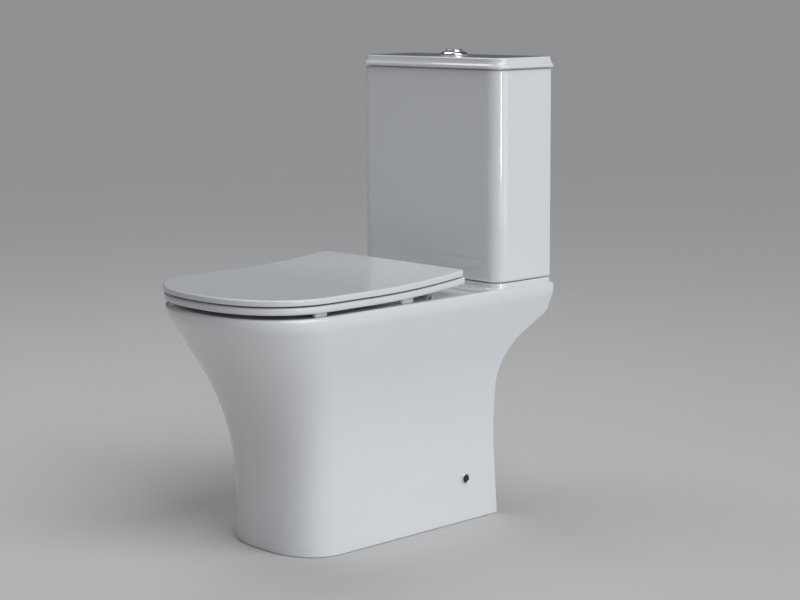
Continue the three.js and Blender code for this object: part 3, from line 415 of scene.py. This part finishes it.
def build_pan():
    n = COLUMNS
    heights, lip_row = pan_heights()
    outer, inner = pan_outside(heights), pan_inside(heights)
    verts = [p for r in outer + inner for p in r]
    base = len(outer) * n
    open_columns = set(range(REAR)) | set(range(n - REAR, n))
    faces = []
    for rows, start, flip in ((len(outer), 0, False), (len(inner), base, True)):
        for r in range(rows - 1):
            low, high = start + r * n, start + (r + 1) * n
            for i in range(n):
                if r < lip_row and i in open_columns:
                    continue
                j = (i + 1) % n
                quad = (low + i, low + j, high + j, high + i)
                faces.append(quad[::-1] if flip else quad)
        tip = tuple(start + (rows - 1) * n + i for i in range(n))
        faces.append(tip[::-1] if flip else tip)
    for i in range(n):                       # the foot's underside, and the underside of the shelf's lip
        j = (i + 1) % n
        r = lip_row if i in open_columns else 0
        faces.append((base + r * n + i, base + r * n + j, r * n + j, r * n + i))
    for i in (REAR, n - REAR):               # the two upright edges of the open back
        for r in range(lip_row):
            faces.append((r * n + i, (r + 1) * n + i, base + (r + 1) * n + i, base + r * n + i))
    return new_mesh("pan_ceramic", verts, faces)


def box_cutter(low, high):
    (x0, y0, z0), (x1, y1, z1) = low, high
    verts = [(x, y, z) for z in (z0, z1) for x, y in ((x0, y0), (x1, y0), (x1, y1), (x0, y1))]
    faces = [(3, 2, 1, 0), (4, 5, 6, 7), (0, 1, 5, 4), (1, 2, 6, 5), (2, 3, 7, 6), (3, 0, 4, 7)]
    return new_mesh("cutter", verts, faces)


def boxed(half, front, back, front_r, back_r):
    """A plan with round corners, from the middle of the back round to the middle of the front and on."""
    steps = 14
    right = [(half * k / 10, back) for k in range(0, 9)]
    for r, cy, start in ((back_r, back - back_r, 90), (front_r, front + front_r, 0)):
        for k in range(steps + 1):
            a = math.radians(start - 90 * k / steps)
            right.append((half - r + r * math.cos(a), cy + r * math.sin(a)))
    right += [(half * k / 10, front) for k in range(8, -1, -1)]
    return right + [(-x, y) for x, y in right[-2:0:-1]]


TANK_HALF = TANK_HIGH.x
TANK_FRONT_R, TANK_BACK_R = 0.027, 0.006
MIN_BACK_R = 0.001


def tank_outline(by, back):
    return boxed(TANK_HALF - by, TANK_LOW.y + by, back - by,
                 max(TANK_FRONT_R - by, MIN_CORNER), max(TANK_BACK_R - by, MIN_BACK_R))


def tank_stack(name, profile, back=TANK_HIGH.y):
    """A closed piece of the cistern's plan, from (inset, height) pairs."""
    return stack(name, [at_z(tank_outline(by, back), z) for by, z in profile])


# ---------------------------------------------------------------- seat and lid plates
BEND_START = HINGE_Y - 0.208
BEND_R = 1.772
LID_PAST_HINGE, LID_NOSE, LID_CORNER = 0.0025, 0.141, 0.012
SEAT_PAST_HINGE, SEAT_NOSE, SEAT_CORNER = 0.007, 0.1395, 0.0105


def rise(y):
    """How far the plates' upward bend has lifted them at a place."""
    return max(y - BEND_START, 0) ** 2 / (2 * BEND_R)


def plate_ring(outline_of, by, z):
    return [(x, y, z + rise(y)) for x, y in outline_of(by)]


def lid_outline(by):
    return fronted(LID_HIGH.x - by, LID_LOW.y + by, HINGE_Y + LID_PAST_HINGE - by,
                   LID_NOSE - by, RIM_SQUARENESS, max(LID_CORNER - by, MIN_CORNER))


def seat_outline(by):
    return fronted(SEAT_HIGH.x - by, SEAT_LOW.y + by, HINGE_Y + SEAT_PAST_HINGE - by,
                   SEAT_NOSE - by, RIM_SQUARENESS, max(SEAT_CORNER - by, MIN_CORNER))


def rounded_edge(radius, z, upward, steps=6):
    """(inset, height) pairs round a quarter turn: from the flat face to the side, or back when upward."""
    if upward:
        return [(radius * (1 - math.cos(a)), z - radius * (1 - math.sin(a))) for a in quarter(steps)]
    return [(radius * (1 - math.sin(a)), z + radius * (1 - math.cos(a))) for a in quarter(steps)]


SEAT_Z0 = DECK_Z + 0.0075             # the seat's buffers hold it this far off the deck
SEAT_Z1 = SEAT_Z0 + 0.012
LID_Z0 = SEAT_Z1 + 0.0027             # the lid's buffers hold it this far off the seat
LID_Z1 = LID_Z0 + 0.010
LID_LOW_R, LID_TOP_R = 0.0016, 0.0034
SEAT_LOW_R, SEAT_TOP_R = 0.0036, 0.0042


def build_lid():
    profile = [(0.012, LID_Z0), (0.002, LID_Z0)] + rounded_edge(LID_LOW_R, LID_Z0, False)
    profile += rounded_edge(LID_TOP_R, LID_Z1, True, 8) + [(0.0042, LID_Z1), (0.012, LID_Z1), (0.03, LID_Z1)]
    rings = [plate_ring(lid_outline, by, z) for by, z in profile]
    centre = (LID_LOW.y + HINGE_Y) / 2

    def shrunk(ring, z, t):
        """The ring drawn towards the middle, still on the plate's bend."""
        points = [(x * t, centre + (y - centre) * t) for x, y, _ in ring]
        return [(x, y, z + rise(y)) for x, y in points]

    underside, upper = ([shrunk(ring, z, t) for t in (0.9, 0.78, 0.66, 0.54, 0.42, 0.3, 0.18, 0.06)]
                        for ring, z in ((rings[0], LID_Z0), (rings[-1], LID_Z1)))
    return stack("seat_lid_shell", underside[::-1] + rings + upper)


HOLE_FRONT, HOLE_BACK, HOLE_HALF = SEAT_LOW.y + 0.0605, HINGE_Y - 0.098, 0.110
HOLE_TOP_R, HOLE_LOW_R = 0.006, 0.003


def hole_ring(grow, z):
    points = oval(0, (HOLE_FRONT + HOLE_BACK) / 2, (HOLE_BACK - HOLE_FRONT) / 2 + grow, HOLE_HALF + grow)
    return [(x, y, z + rise(y)) for x, y, _ in points]


def across(a, b, count):
    """Rings between two others, kept on the plate's bend."""
    made = []
    for k in range(1, count):
        t = k / count
        ring = []
        for p, q in zip(a, b):
            x, y = p[0] + (q[0] - p[0]) * t, p[1] + (q[1] - p[1]) * t
            level = (p[2] - rise(p[1])) * (1 - t) + (q[2] - rise(q[1])) * t
            ring.append((x, y, level + rise(y)))
        made.append(ring)
    return made


def build_seat():
    outside = rounded_edge(SEAT_LOW_R, SEAT_Z0, False) + rounded_edge(SEAT_TOP_R, SEAT_Z1, True, 8)
    rings = [plate_ring(seat_outline, by, z) for by, z in outside + [(SEAT_TOP_R + 0.001, SEAT_Z1)]]
    inside = [(HOLE_TOP_R * (1 - math.sin(a)), SEAT_Z1 - HOLE_TOP_R * (1 - math.cos(a))) for a in quarter(8)]
    inside += [(HOLE_LOW_R * (1 - math.cos(a)), SEAT_Z0 + HOLE_LOW_R * (1 - math.sin(a))) for a in quarter(6)]
    hole = [hole_ring(grow, z) for grow, z in inside]
    rings = rings + across(rings[-1], hole[0], 8) + hole + across(hole[-1], rings[0], 6)
    return stack("seat_ring_shell", rings + [rings[0]], cap_ends=False)


# ---------------------------------------------------------------- small pieces
BUTTON_R = 0.0158


def d_shape(radius, x_split, side, by):
    """Half of a round button, on one side of a straight split, drawn in by a distance."""
    round_steps, split_steps = 40, 12
    r = radius - by
    cut = side * x_split + by
    a0 = math.acos(max(min(cut / r, 1), -1))
    pts = [(side * r * math.cos(-a0 + 2 * a0 * k / round_steps), r * math.sin(-a0 + 2 * a0 * k / round_steps))
           for k in range(round_steps + 1)]
    y_top = pts[-1][1]
    return pts + [(side * cut, y_top * (1 - 2 * k / split_steps)) for k in range(1, split_steps)]


def build_button(name, x_split, side, z0, z1):
    profile = [(0.0, z0)] + [(0.0, z1 - 0.0022)] + rounded_edge(0.0011, z1 - 0.0005, True, 5)
    profile += [(0.0016, z1 - 0.0004), (0.0026, z1 - 0.0002), (0.0036, z1 - 0.0001)]
    return stack(name, [[(x, y + TANK_Y, z) for x, y in d_shape(BUTTON_R, x_split, side, by)]
                        for by, z in profile])


def oblong(name, centre, half_x, half_y, profile):
    """A pad with round corners, from (inset, height) pairs."""
    cx, cy = centre
    steps = 8
    rings = []
    for by, z in profile:
        r = max(min(half_x, half_y) * 0.8 - by, 0.0004)
        ring = []
        for sx, sy, start in ((1, 1, 0), (-1, 1, 90), (-1, -1, 180), (1, -1, 270)):
            for k in range(steps + 1):
                a = math.radians(start + 90 * k / steps)
                ring.append((cx + sx * (half_x - by - r) + r * math.cos(a),
                             cy + sy * (half_y - by - r) + r * math.sin(a), z))
        rings.append(ring)
    return stack(name, rings)


# ---------------------------------------------------------------- materials
GLASSY_IOR = 1.5


def material(name, color, roughness, metallic=0.0, coat=0.0, coat_roughness=0.03,
             color_noise=0.0, color_scale=30.0, rough_noise=0.0, bumps=()):
    """A procedural surface that varies a little. Each of its bumps is (scale, strength, distance)."""
    mat = bpy.data.materials.new(name)
    mat.use_nodes = True
    nodes, links = mat.node_tree.nodes, mat.node_tree.links
    shader = nodes["Principled BSDF"]
    shader.inputs["Metallic"].default_value = metallic
    shader.inputs["IOR"].default_value = GLASSY_IOR
    shader.inputs["Coat Weight"].default_value = coat
    shader.inputs["Coat Roughness"].default_value = coat_roughness
    place = nodes.new("ShaderNodeTexCoord")

    def noise(scale, detail=3.0):
        n = nodes.new("ShaderNodeTexNoise")
        n.inputs["Scale"].default_value = scale
        n.inputs["Detail"].default_value = detail
        links.new(place.outputs["Object"], n.inputs["Vector"])
        return n

    tint = nodes.new("ShaderNodeMix")
    tint.data_type = "RGBA"
    tint.inputs["A"].default_value = (*color, 1)
    tint.inputs["B"].default_value = (*[c * (1 - color_noise) for c in color], 1)
    links.new(noise(color_scale).outputs["Fac"], tint.inputs["Factor"])
    links.new(tint.outputs["Result"], shader.inputs["Base Color"])
    spread = nodes.new("ShaderNodeMapRange")
    spread.inputs["To Min"].default_value = max(roughness - rough_noise, 0.02)
    spread.inputs["To Max"].default_value = roughness + rough_noise
    links.new(noise(color_scale * 2.3, 5.0).outputs["Fac"], spread.inputs["Value"])
    links.new(spread.outputs["Result"], shader.inputs["Roughness"])
    last = None
    for scale, strength, distance in bumps:
        bump = nodes.new("ShaderNodeBump")
        bump.inputs["Strength"].default_value = strength
        bump.inputs["Distance"].default_value = distance
        links.new(noise(scale).outputs["Fac"], bump.inputs["Height"])
        if last:
            links.new(last.outputs["Normal"], bump.inputs["Normal"])
        last = bump
    if last:
        links.new(last.outputs["Normal"], shader.inputs["Normal"])
    return mat


MATS = {
    "ceramic": material("glazed_ceramic", (0.80, 0.815, 0.835), 0.07, coat=0.9, coat_roughness=0.02,
                        color_noise=0.02, color_scale=9, rough_noise=0.02,
                        bumps=((14, 0.05, 0.002), (140, 0.02, 0.0006))),
    "seat": material("satin_duroplast", (0.74, 0.755, 0.775), 0.24, coat=0.35, coat_roughness=0.12,
                     color_noise=0.015, color_scale=20, rough_noise=0.04, bumps=((420, 0.03, 0.0004),)),
    "chrome": material("polished_chrome", (0.86, 0.87, 0.88), 0.05, metallic=1.0,
                       color_noise=0.03, color_scale=60, rough_noise=0.025, bumps=((90, 0.02, 0.0004),)),
    "steel": material("zinc_plated_steel", (0.55, 0.56, 0.58), 0.34, metallic=1.0,
                      color_noise=0.15, color_scale=220, rough_noise=0.08, bumps=((900, 0.1, 0.0003),)),
    "white_plastic": material("moulded_white_plastic", (0.72, 0.73, 0.73), 0.42,
                              color_noise=0.04, color_scale=60, rough_noise=0.06,
                              bumps=((700, 0.08, 0.0003),)),
    "grey_plastic": material("moulded_grey_plastic", (0.26, 0.28, 0.30), 0.45,
                             color_noise=0.06, color_scale=70, rough_noise=0.06, bumps=((700, 0.1, 0.0003),)),
    "blue_plastic": material("moulded_blue_plastic", (0.08, 0.19, 0.38), 0.42,
                             color_noise=0.06, color_scale=60, rough_noise=0.05,
                             bumps=((700, 0.08, 0.0003),)),
    # also used for the black disc in the screw caps, which is a painted reflection
    "rubber": material("black_rubber_and_painted_reflection", (0.02, 0.021, 0.023), 0.75,
                       color_noise=0.2, color_scale=90, rough_noise=0.1, bumps=((500, 0.2, 0.0004),)),
    "buffer": material("white_rubber", (0.66, 0.67, 0.68), 0.55,
                       color_noise=0.04, color_scale=90, rough_noise=0.06, bumps=((600, 0.12, 0.0003),)),
}


def paint(obj, slot_name):
    obj.data.materials.clear()
    obj.data.materials.append(MATS[slot_name])


def place_piece(obj, slot_name, body, *nodes):
    """Finishes and paints a piece, and puts it on its body in place of the CAD nodes named."""
    finish_mesh(obj)
    paint(obj, slot_name)
    if nodes:
        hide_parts(*nodes)
    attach(obj, body)
    return obj


# ---------------------------------------------------------------- pan, plinth and waterways
def bend(y, z, radius, start, end, steps=14):
    """Points of an arc in the middle plane. Angles in degrees, from the back upwards."""
    turns = [math.radians(start + (end - start) * k / steps) for k in range(steps + 1)]
    return [Vector((0, y + radius * math.cos(a), z + radius * math.sin(a))) for a in turns]


TRAP_BORE, TRAP_OUTSIDE = 0.037, 0.048
DUCT_BORE, DUCT_OUTSIDE = 0.023, 0.032
TRAP_Y, TRAP_Z = SUMP_Y + 0.044, BOWL_FLOOR + 0.044
OUTLET_Z = 0.180
CLIMB_R, FALL_R, ELBOW_R = 0.054, 0.066, 0.036
FALL_RUN = 0.038                      # each of the fall's two bends runs back this far
DUCT_Z = DECK_UNDER - 0.032

# the trap leaves the sump, climbs over the weir and falls to the outlet
climb = (bend(TRAP_Y, TRAP_Z + CLIMB_R, CLIMB_R, -90, 0)
         + bend(TRAP_Y + 2 * CLIMB_R, TRAP_Z + CLIMB_R, CLIMB_R, 180, 90))
fall_deg = math.degrees(math.asin(FALL_RUN / FALL_R))
fall_y, fall_top = TRAP_Y + 2 * CLIMB_R, TRAP_Z + 2 * CLIMB_R
fall = (bend(fall_y, fall_top - FALL_R, FALL_R, 90, 90 - fall_deg, 8)[1:]
        + bend(fall_y + 2 * FALL_RUN, OUTLET_Z + FALL_R, FALL_R, -90 - fall_deg, -90, 8)[1:]
        + [Vector((0, WALL_Y - 0.051, OUTLET_Z))])
# the flush duct turns forward under the cistern and runs to the back of the bowl
elbow = bend(TANK_Y - ELBOW_R, DECK_UNDER - 0.001, ELBOW_R, 0, -90)

pan = build_pan()
finish_mesh(pan)
from_sump = [Vector((0, SUMP_Y - 0.004, TRAP_Z))] + climb + fall
cut_away(pan, finish_mesh(tube("cutter", from_sump, (None, TRAP_BORE))))
into_bowl = [Vector((0, TANK_Y, DECK_Z - 0.006))] + elbow + [Vector((0, BOWL_BACK - 0.012, DUCT_Z))]
cut_away(pan, finish_mesh(tube("cutter", into_bowl, (None, DUCT_BORE))))
place_piece(pan, "ceramic", "fixed", "pan")
trap_path = [Vector((0, SUMP_Y + 0.042, TRAP_Z))] + climb[1:] + fall
place_piece(tube("pan_trapway", trap_path, (TRAP_BORE, TRAP_OUTSIDE), 64), "ceramic", "fixed")
duct_path = elbow + [Vector((0, BOWL_BACK + 0.002, DUCT_Z))]
place_piece(tube("pan_flush_duct", duct_path, (DUCT_BORE, DUCT_OUTSIDE), 56), "ceramic", "fixed")

PLINTH_INSET, COVE_R, PLINTH_TOP_R = 0.0010, 0.0026, 0.0028
plinth_profile = [(0.006, DECK_Z - 0.0005), (-0.0016, DECK_Z - 0.0005)]
plinth_profile += [(PLINTH_INSET - COVE_R * (1 - math.sin(a)), DECK_Z + COVE_R * (1 - math.cos(a)))
                   for a in quarter(5)]
plinth_profile += [(PLINTH_INSET + by, z) for by, z in rounded_edge(PLINTH_TOP_R, PLINTH_Z, True)]
plinth_profile += [(0.0045, PLINTH_Z), (0.010, PLINTH_Z)]
plinth = tank_stack("pan_plinth", plinth_profile, back=WALL_Y - EDGE_R)
place_piece(plinth, "ceramic", "fixed")

# ---------------------------------------------------------------- cistern
TANK_WALL, TANK_FLOOR = 0.009, 0.012
TANK_FOOT_R, TANK_MOUTH_R = 0.0045, 0.0025
floor_top = TANK_LOW.z + TANK_FLOOR
tank_profile = [(0.02, TANK_LOW.z), (0.0055, TANK_LOW.z)] + rounded_edge(TANK_FOOT_R, TANK_LOW.z, False)
tank_profile += [(0.0, TANK_LOW.z + 0.006)]
tank_profile += [(0.0, z) for z in spread(TANK_LOW.z, TANK_HIGH.z, 8)[1:]]
tank_profile += [(0.0, TANK_HIGH.z - 0.004)] + rounded_edge(TANK_MOUTH_R, TANK_HIGH.z, True)
tank_profile += [(TANK_WALL - 0.0015, TANK_HIGH.z), (TANK_WALL - 0.0004, TANK_HIGH.z - 0.0004),
                 (TANK_WALL, TANK_HIGH.z - 0.0015)]
tank_profile += [(TANK_WALL, floor_top + 0.008), (TANK_WALL + 0.0024, floor_top + 0.0024),
                 (TANK_WALL + 0.008, floor_top), (TANK_WALL + 0.02, floor_top)]
place_piece(tank_stack("cistern_shell", tank_profile), "ceramic", "fixed", "cistern")

# ---------------------------------------------------------------- cistern lid
COVER_UNDER, COVER_LIP_Z = COVER_HIGH.z - 0.008, COVER_HIGH.z - 0.0183
RIB_IN, RIB_OUT, RIB_CHAMFER = 0.0155, 0.0105, 0.001    # the rib that hangs inside the cistern
LEDGE = 0.0068                        # inset of the shadow gap over the cistern's edge
OVERHANG, LIP_R = 0.0045, 0.0013
TOP_INSET, TOP_R = 0.0012, 0.0032
COVER_SIDE = [                        # inset, and height over the lip
    (-OVERHANG, 0.0026), (-0.00425, 0.0040), (-0.0037, 0.0050), (-0.0028, 0.0061), (-0.0018, 0.0071),
    (-0.0009, 0.0083), (-0.0002, 0.0098), (0.0004, 0.0118), (0.0010, 0.0138)]
cover_profile = [(0.03, COVER_UNDER), (RIB_IN + RIB_CHAMFER, COVER_UNDER),
                 (RIB_IN, COVER_UNDER - RIB_CHAMFER), (RIB_IN, COVER_LOW.z + RIB_CHAMFER),
                 (RIB_IN - RIB_CHAMFER, COVER_LOW.z),
                 (RIB_OUT + RIB_CHAMFER, COVER_LOW.z), (RIB_OUT, COVER_LOW.z + RIB_CHAMFER),
                 (RIB_OUT, TANK_HIGH.z + GAP), (LEDGE, TANK_HIGH.z + GAP), (LEDGE, COVER_LIP_Z),
                 (LIP_R - OVERHANG, COVER_LIP_Z)]
cover_profile += [(LIP_R * (1 - math.sin(a)) - OVERHANG, COVER_LIP_Z + LIP_R * (1 - math.cos(a)))
                  for a in quarter(5)[1:]]
cover_profile += [(by, COVER_LIP_Z + up) for by, up in COVER_SIDE]
cover_profile += [(TOP_INSET + by, z) for by, z in rounded_edge(TOP_R, COVER_HIGH.z, True, 7)]
cover_profile += [(0.0052, COVER_HIGH.z), (0.010, COVER_HIGH.z)]
place_piece(tank_stack("cistern_lid_shell", cover_profile), "ceramic", "cistern_lid", "cistern_lid")

# ---------------------------------------------------------------- push button
BEZEL_BORE, BEZEL_NECK = 0.0163, 0.019
bezel_z, bezel_top = COVER_HIGH.z + GAP, BEZEL_HIGH.z
bezel_profile = fillet([
    (BEZEL_BORE, BEZEL_LOW.z), (BEZEL_NECK, BEZEL_LOW.z), (BEZEL_NECK, bezel_z, 0),
    (0.0246, bezel_z, 0.0004), (0.0250, bezel_z + 0.0012, 0.001), (0.0243, bezel_z + 0.0034, 0.002),
    (0.0218, bezel_top - 0.0010, 0.003), (0.0178, bezel_top, 0.001), (0.0166, bezel_top - 0.0006, 0.0006),
    (BEZEL_BORE, bezel_top - 0.0022, 0.0008)], 0.0003, 6)
bezel = turned("button_bezel_ring", bezel_profile, (0, TANK_Y, 0), 96)
place_piece(bezel, "chrome", "cistern_lid", "button_bezel")
SPLIT_X = 0.005
for node, body, side in (("full_flush_button", "full_button", -1), ("half_flush_button", "half_button", 1)):
    low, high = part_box(node)
    piece = build_button(node + "_cap", SPLIT_X + side * GAP, side, low.z, high.z)
    place_piece(piece, "chrome", body, node)

# ---------------------------------------------------------------- seat and lid
LUG_NEAR, LUG_FAR = 0.0085, 0.0165    # a lug's two faces, from the middle of its hinge
BARREL_R, BARREL_ROUND, BARREL_HALF = 0.008, 0.0012, 0.0075
WEB_SINK = 0.002                      # a lug's web runs this far into its plate
HINGE_BASE_TOP = 0.0042
HINGE_BASE = [(0, 0)] + fillet([
    (0, 0), (0.0175, 0, 0.0003), (0.0175, 0.0022, 0.0014), (0.0150, 0.0036, 0.001), (0.0095, 0.0040, 0.002),
    (0, HINGE_BASE_TOP)], 0.001, 5)[1:-1] + [(0, HINGE_BASE_TOP)]
PIN_TIP = [(0, 0), (0.004, 0), (0.004, 0.0004), (0.0036, 0.0006), (0, 0.0006)]

seat = build_seat()
finish_mesh(seat)
for side in (-1, 1):                  # a notch round each hinge
    x = side * HINGE_X
    x0, x1 = sorted((x - side * LUG_NEAR, x + side * 0.0175))
    notch = box_cutter((x0, HINGE_Y - 0.0095, SEAT_Z0 - 0.01), (x1, HINGE_Y + 0.03, SEAT_Z1 + 0.03))
    cut_away(seat, notch)
place_piece(seat, "seat", "seat", "seat_ring")
place_piece(build_lid(), "seat", "lid", "seat_lid")


def barrel(name, x0, x1):
    """A round bar along the hinge's axis."""
    length = abs(x1 - x0)
    corners = [(0, 0), (BARREL_R, 0), (BARREL_R, length), (0, length)]
    profile = [(0, 0)] + fillet(corners, BARREL_ROUND, 6)[1:-1] + [(0, length)]
    return turned(name, profile, (min(x0, x1), HINGE_Y, HINGE_Z), 56, axis="X")


def web(name, x0, x1, y0, y1, z0, z1):
    """An upright block with round corners."""
    centre = ((x0 + x1) / 2, (y0 + y1) / 2)
    return oblong(name, centre, abs(x1 - x0) / 2, (y1 - y0) / 2, [(0.0, z0), (0.0, z1)])


for side, hand in ((1, "l"), (-1, "r")):
    x = side * HINGE_X
    inner, outer = (x - side * LUG_FAR, x - side * LUG_NEAR), (x + side * LUG_NEAR, x + side * LUG_FAR)
    for part, lug, web_back, plate_z in (("seat", inner, 0.004, SEAT_Z0), ("lid", outer, 0.0015, LID_Z0)):
        place_piece(barrel(part + "_lug_" + hand, *lug), "seat", part)
        lug_web = web(part + "_lug_web_" + hand, *lug, HINGE_Y - BARREL_R, HINGE_Y + web_back,
                      HINGE_Z, plate_z + rise(HINGE_Y) + WEB_SINK)
        place_piece(lug_web, "seat", part)
    base = turned("hinge_base_" + hand, HINGE_BASE, (x, HINGE_Y, DECK_Z + GAP), 72)
    place_piece(base, "chrome", "fixed", "hinge_post_" + hand)
    neck = web("hinge_neck_" + hand, x - 0.0073, x + 0.0073, HINGE_Y - 0.0062, HINGE_Y + 0.0062,
               DECK_Z + 0.003, HINGE_Z + 0.002)
    place_piece(neck, "chrome", "fixed")
    place_piece(barrel("hinge_barrel_" + hand, x - BARREL_HALF, x + BARREL_HALF), "chrome", "fixed")
    for end in (-1, 1):
        tip = turned("hinge_pin_tip_%s_%s" % (hand, "in" if end == -side else "out"), PIN_TIP,
                     (x + end * LUG_FAR, HINGE_Y, HINGE_Z), 40, axis="X" if end > 0 else "-X")
        place_piece(tip, "steel", "fixed")

# ---------------------------------------------------------------- buffers and screw caps
CAP_RING = fillet([(0.0040, 0), (0.0085, 0, 0.0002), (0.0085, 0.0027, 0.0009), (0.0070, 0.0027, 0.0006),
                   (0.0066, 0.0010, 0.0003), (0.0040, 0.0010)], 0.0003, 6)
# The flat black disc inside each cap's chrome ring is a painted reflection of dark surroundings in the
# chrome.
CAP_PAINTED_REFLECTION_DISC = [(0, 0.0011), (0.0060, 0.0011), (0.0064, 0.0014), (0.0062, 0.0018), (0.0040, 0.0021), (0, 0.0022)]
for hand in "lr":
    for place in ("front", "rear"):
        node = "seat_buffer_%s_%s" % (place, hand)
        low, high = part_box(node)
        profile = [(0.0016, low.z), (0.0005, low.z + 0.0005), (0, low.z + 0.0016),
                   (0, high.z - 0.0008), (0.0003, high.z)]
        pad = oblong(node + "_pad", ((low.x + high.x) / 2, (low.y + high.y) / 2),
                     (high.x - low.x) / 2, (high.y - low.y) / 2, profile)
        place_piece(pad, "buffer", "seat", node)
    node = "lid_buffer_" + hand
    low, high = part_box(node)
    h = high.z - low.z
    pad = turned(node + "_pad", [(0, 0), (0.0048, 0), (0.0058, 0.0004), (0.006, 0.001), (0.006, h), (0, h)],
                 ((low.x + high.x) / 2, (low.y + high.y) / 2, low.z), 48)
    place_piece(pad, "buffer", "lid", node)
    node = "screw_cap_" + hand
    low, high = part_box(node)
    side = 1 if low.x > 0 else -1
    centre = (side * (FOOT_HALF + GAP), (low.y + high.y) / 2, (low.z + high.z) / 2)
    axis = "X" if side > 0 else "-X"
    place_piece(turned("screw_cap_ring_" + hand, CAP_RING, centre, 72, axis=axis), "chrome", "fixed", node)
    # painted reflection: a black disc in the ring, in the rubber slot, stands in for dark surroundings
    # mirrored in the chrome cap
    place_piece(turned("screw_cap_painted_reflection_" + hand, CAP_PAINTED_REFLECTION_DISC, centre, 72, axis=axis), "rubber", "fixed")

# ---------------------------------------------------------------- CAD nodes that stay
CAD_SHARP_DEG = 28
SLOTS = {entry["node"]: entry["material_slot"] for entry in frame["record"]["subparts"]}
for name, obj in frame["nodes"].items():
    if not obj.hide_render:
        paint(obj, SLOTS[name])
        smooth(obj, CAD_SHARP_DEG)

# ---------------------------------------------------------------- floor, lights and camera
FLOOR_HALF, FLOOR_Z = 900, -0.0006    # so wide that its edge never shows
floor_mat = material("studio_floor", (0.62, 0.612, 0.60), 0.94,
                     color_noise=0.03, color_scale=4, rough_noise=0.05, bumps=((60, 0.03, 0.001),))
corners = ((-1, -1), (1, -1), (1, 1), (-1, 1))
floor = new_mesh("floor", [(x * FLOOR_HALF, y * FLOOR_HALF, FLOOR_Z) for x, y in corners], [(0, 1, 2, 3)])
floor.data.materials.append(floor_mat)

world = bpy.data.worlds.new("studio")
bpy.context.scene.world = world
world.use_nodes = True
background = world.node_tree.nodes["Background"]
background.inputs["Color"].default_value = (0.80, 0.84, 0.92, 1)
background.inputs["Strength"].default_value = 0.11


def facing(direction):
    """The turn that points a light along a direction."""
    return direction.to_track_quat("-Z", "Y").to_euler()


def area(name, place, look_at, size, power, color=(1, 1, 1)):
    data = bpy.data.lights.new(name, "AREA")
    data.shape = "RECTANGLE"
    data.size, data.size_y = size
    data.energy = power
    data.color = color
    obj = bpy.data.objects.new(name, data)
    bpy.context.collection.objects.link(obj)
    obj.location = place
    obj.rotation_euler = facing(Vector(look_at) - Vector(place))
    obj.visible_camera = False


sky = bpy.data.lights.new("broad_side", "SUN")
sky.energy = 1.6
sky.angle = math.radians(50)
sky.color = (0.96, 0.98, 1.0)
sky_obj = bpy.data.objects.new("broad_side", sky)
bpy.context.collection.objects.link(sky_obj)
sky_obj.rotation_euler = facing(Vector((-0.63, 0.02, -0.76)))
area("side_window", (3.6, 1.1, 1.3), (0, 0, 0.35), (2.6, 2.6), 21, (0.93, 0.96, 1.0))
area("side_low", (3.0, -0.9, 0.6), (0, 0, 0.25), (1.4, 0.9), 3, (0.94, 0.97, 1.0))
area("corner_strip", (3.03, -0.70, 0.66), (0.16, 0.2, 0.68), (0.15, 0.70), 8)
area("front_left", (-2.2, -3.0, 2.6), (0, -0.2, 0.3), (1.2, 1.2), 0.8, (1.0, 0.98, 0.96))
area("top_soft", (-1.0, 0.0, 2.8), (0, 0, 0.4), (1.6, 1.6), 21)

SENSOR_MM, LENS_MM, FAR_CLIP = 36, 86.05, 2000
VIEW = Vector((-0.71889753, 0.67664857, -0.15916362)).normalized()
RIGHT = Vector((0.68608766, 0.72749339, -0.00609036)).normalized()
UP = RIGHT.cross(VIEW)
SPOT = Vector((2.434686, TANK_HIGH.y - 2.495994, 0.927481))
cam_data = bpy.data.cameras.new("camera")
camera = bpy.data.objects.new("camera", cam_data)
bpy.context.collection.objects.link(camera)
cam_data.sensor_width = SENSOR_MM
cam_data.lens = LENS_MM
cam_data.clip_end = FAR_CLIP
camera.matrix_world = Matrix(((RIGHT.x, UP.x, -VIEW.x, SPOT.x), (RIGHT.y, UP.y, -VIEW.y, SPOT.y),
                              (RIGHT.z, UP.z, -VIEW.z, SPOT.z), (0, 0, 0, 1)))
bpy.context.scene.camera = camera
bpy.context.scene.view_settings.view_transform = "Standard"

bpy.context.view_layer.update()
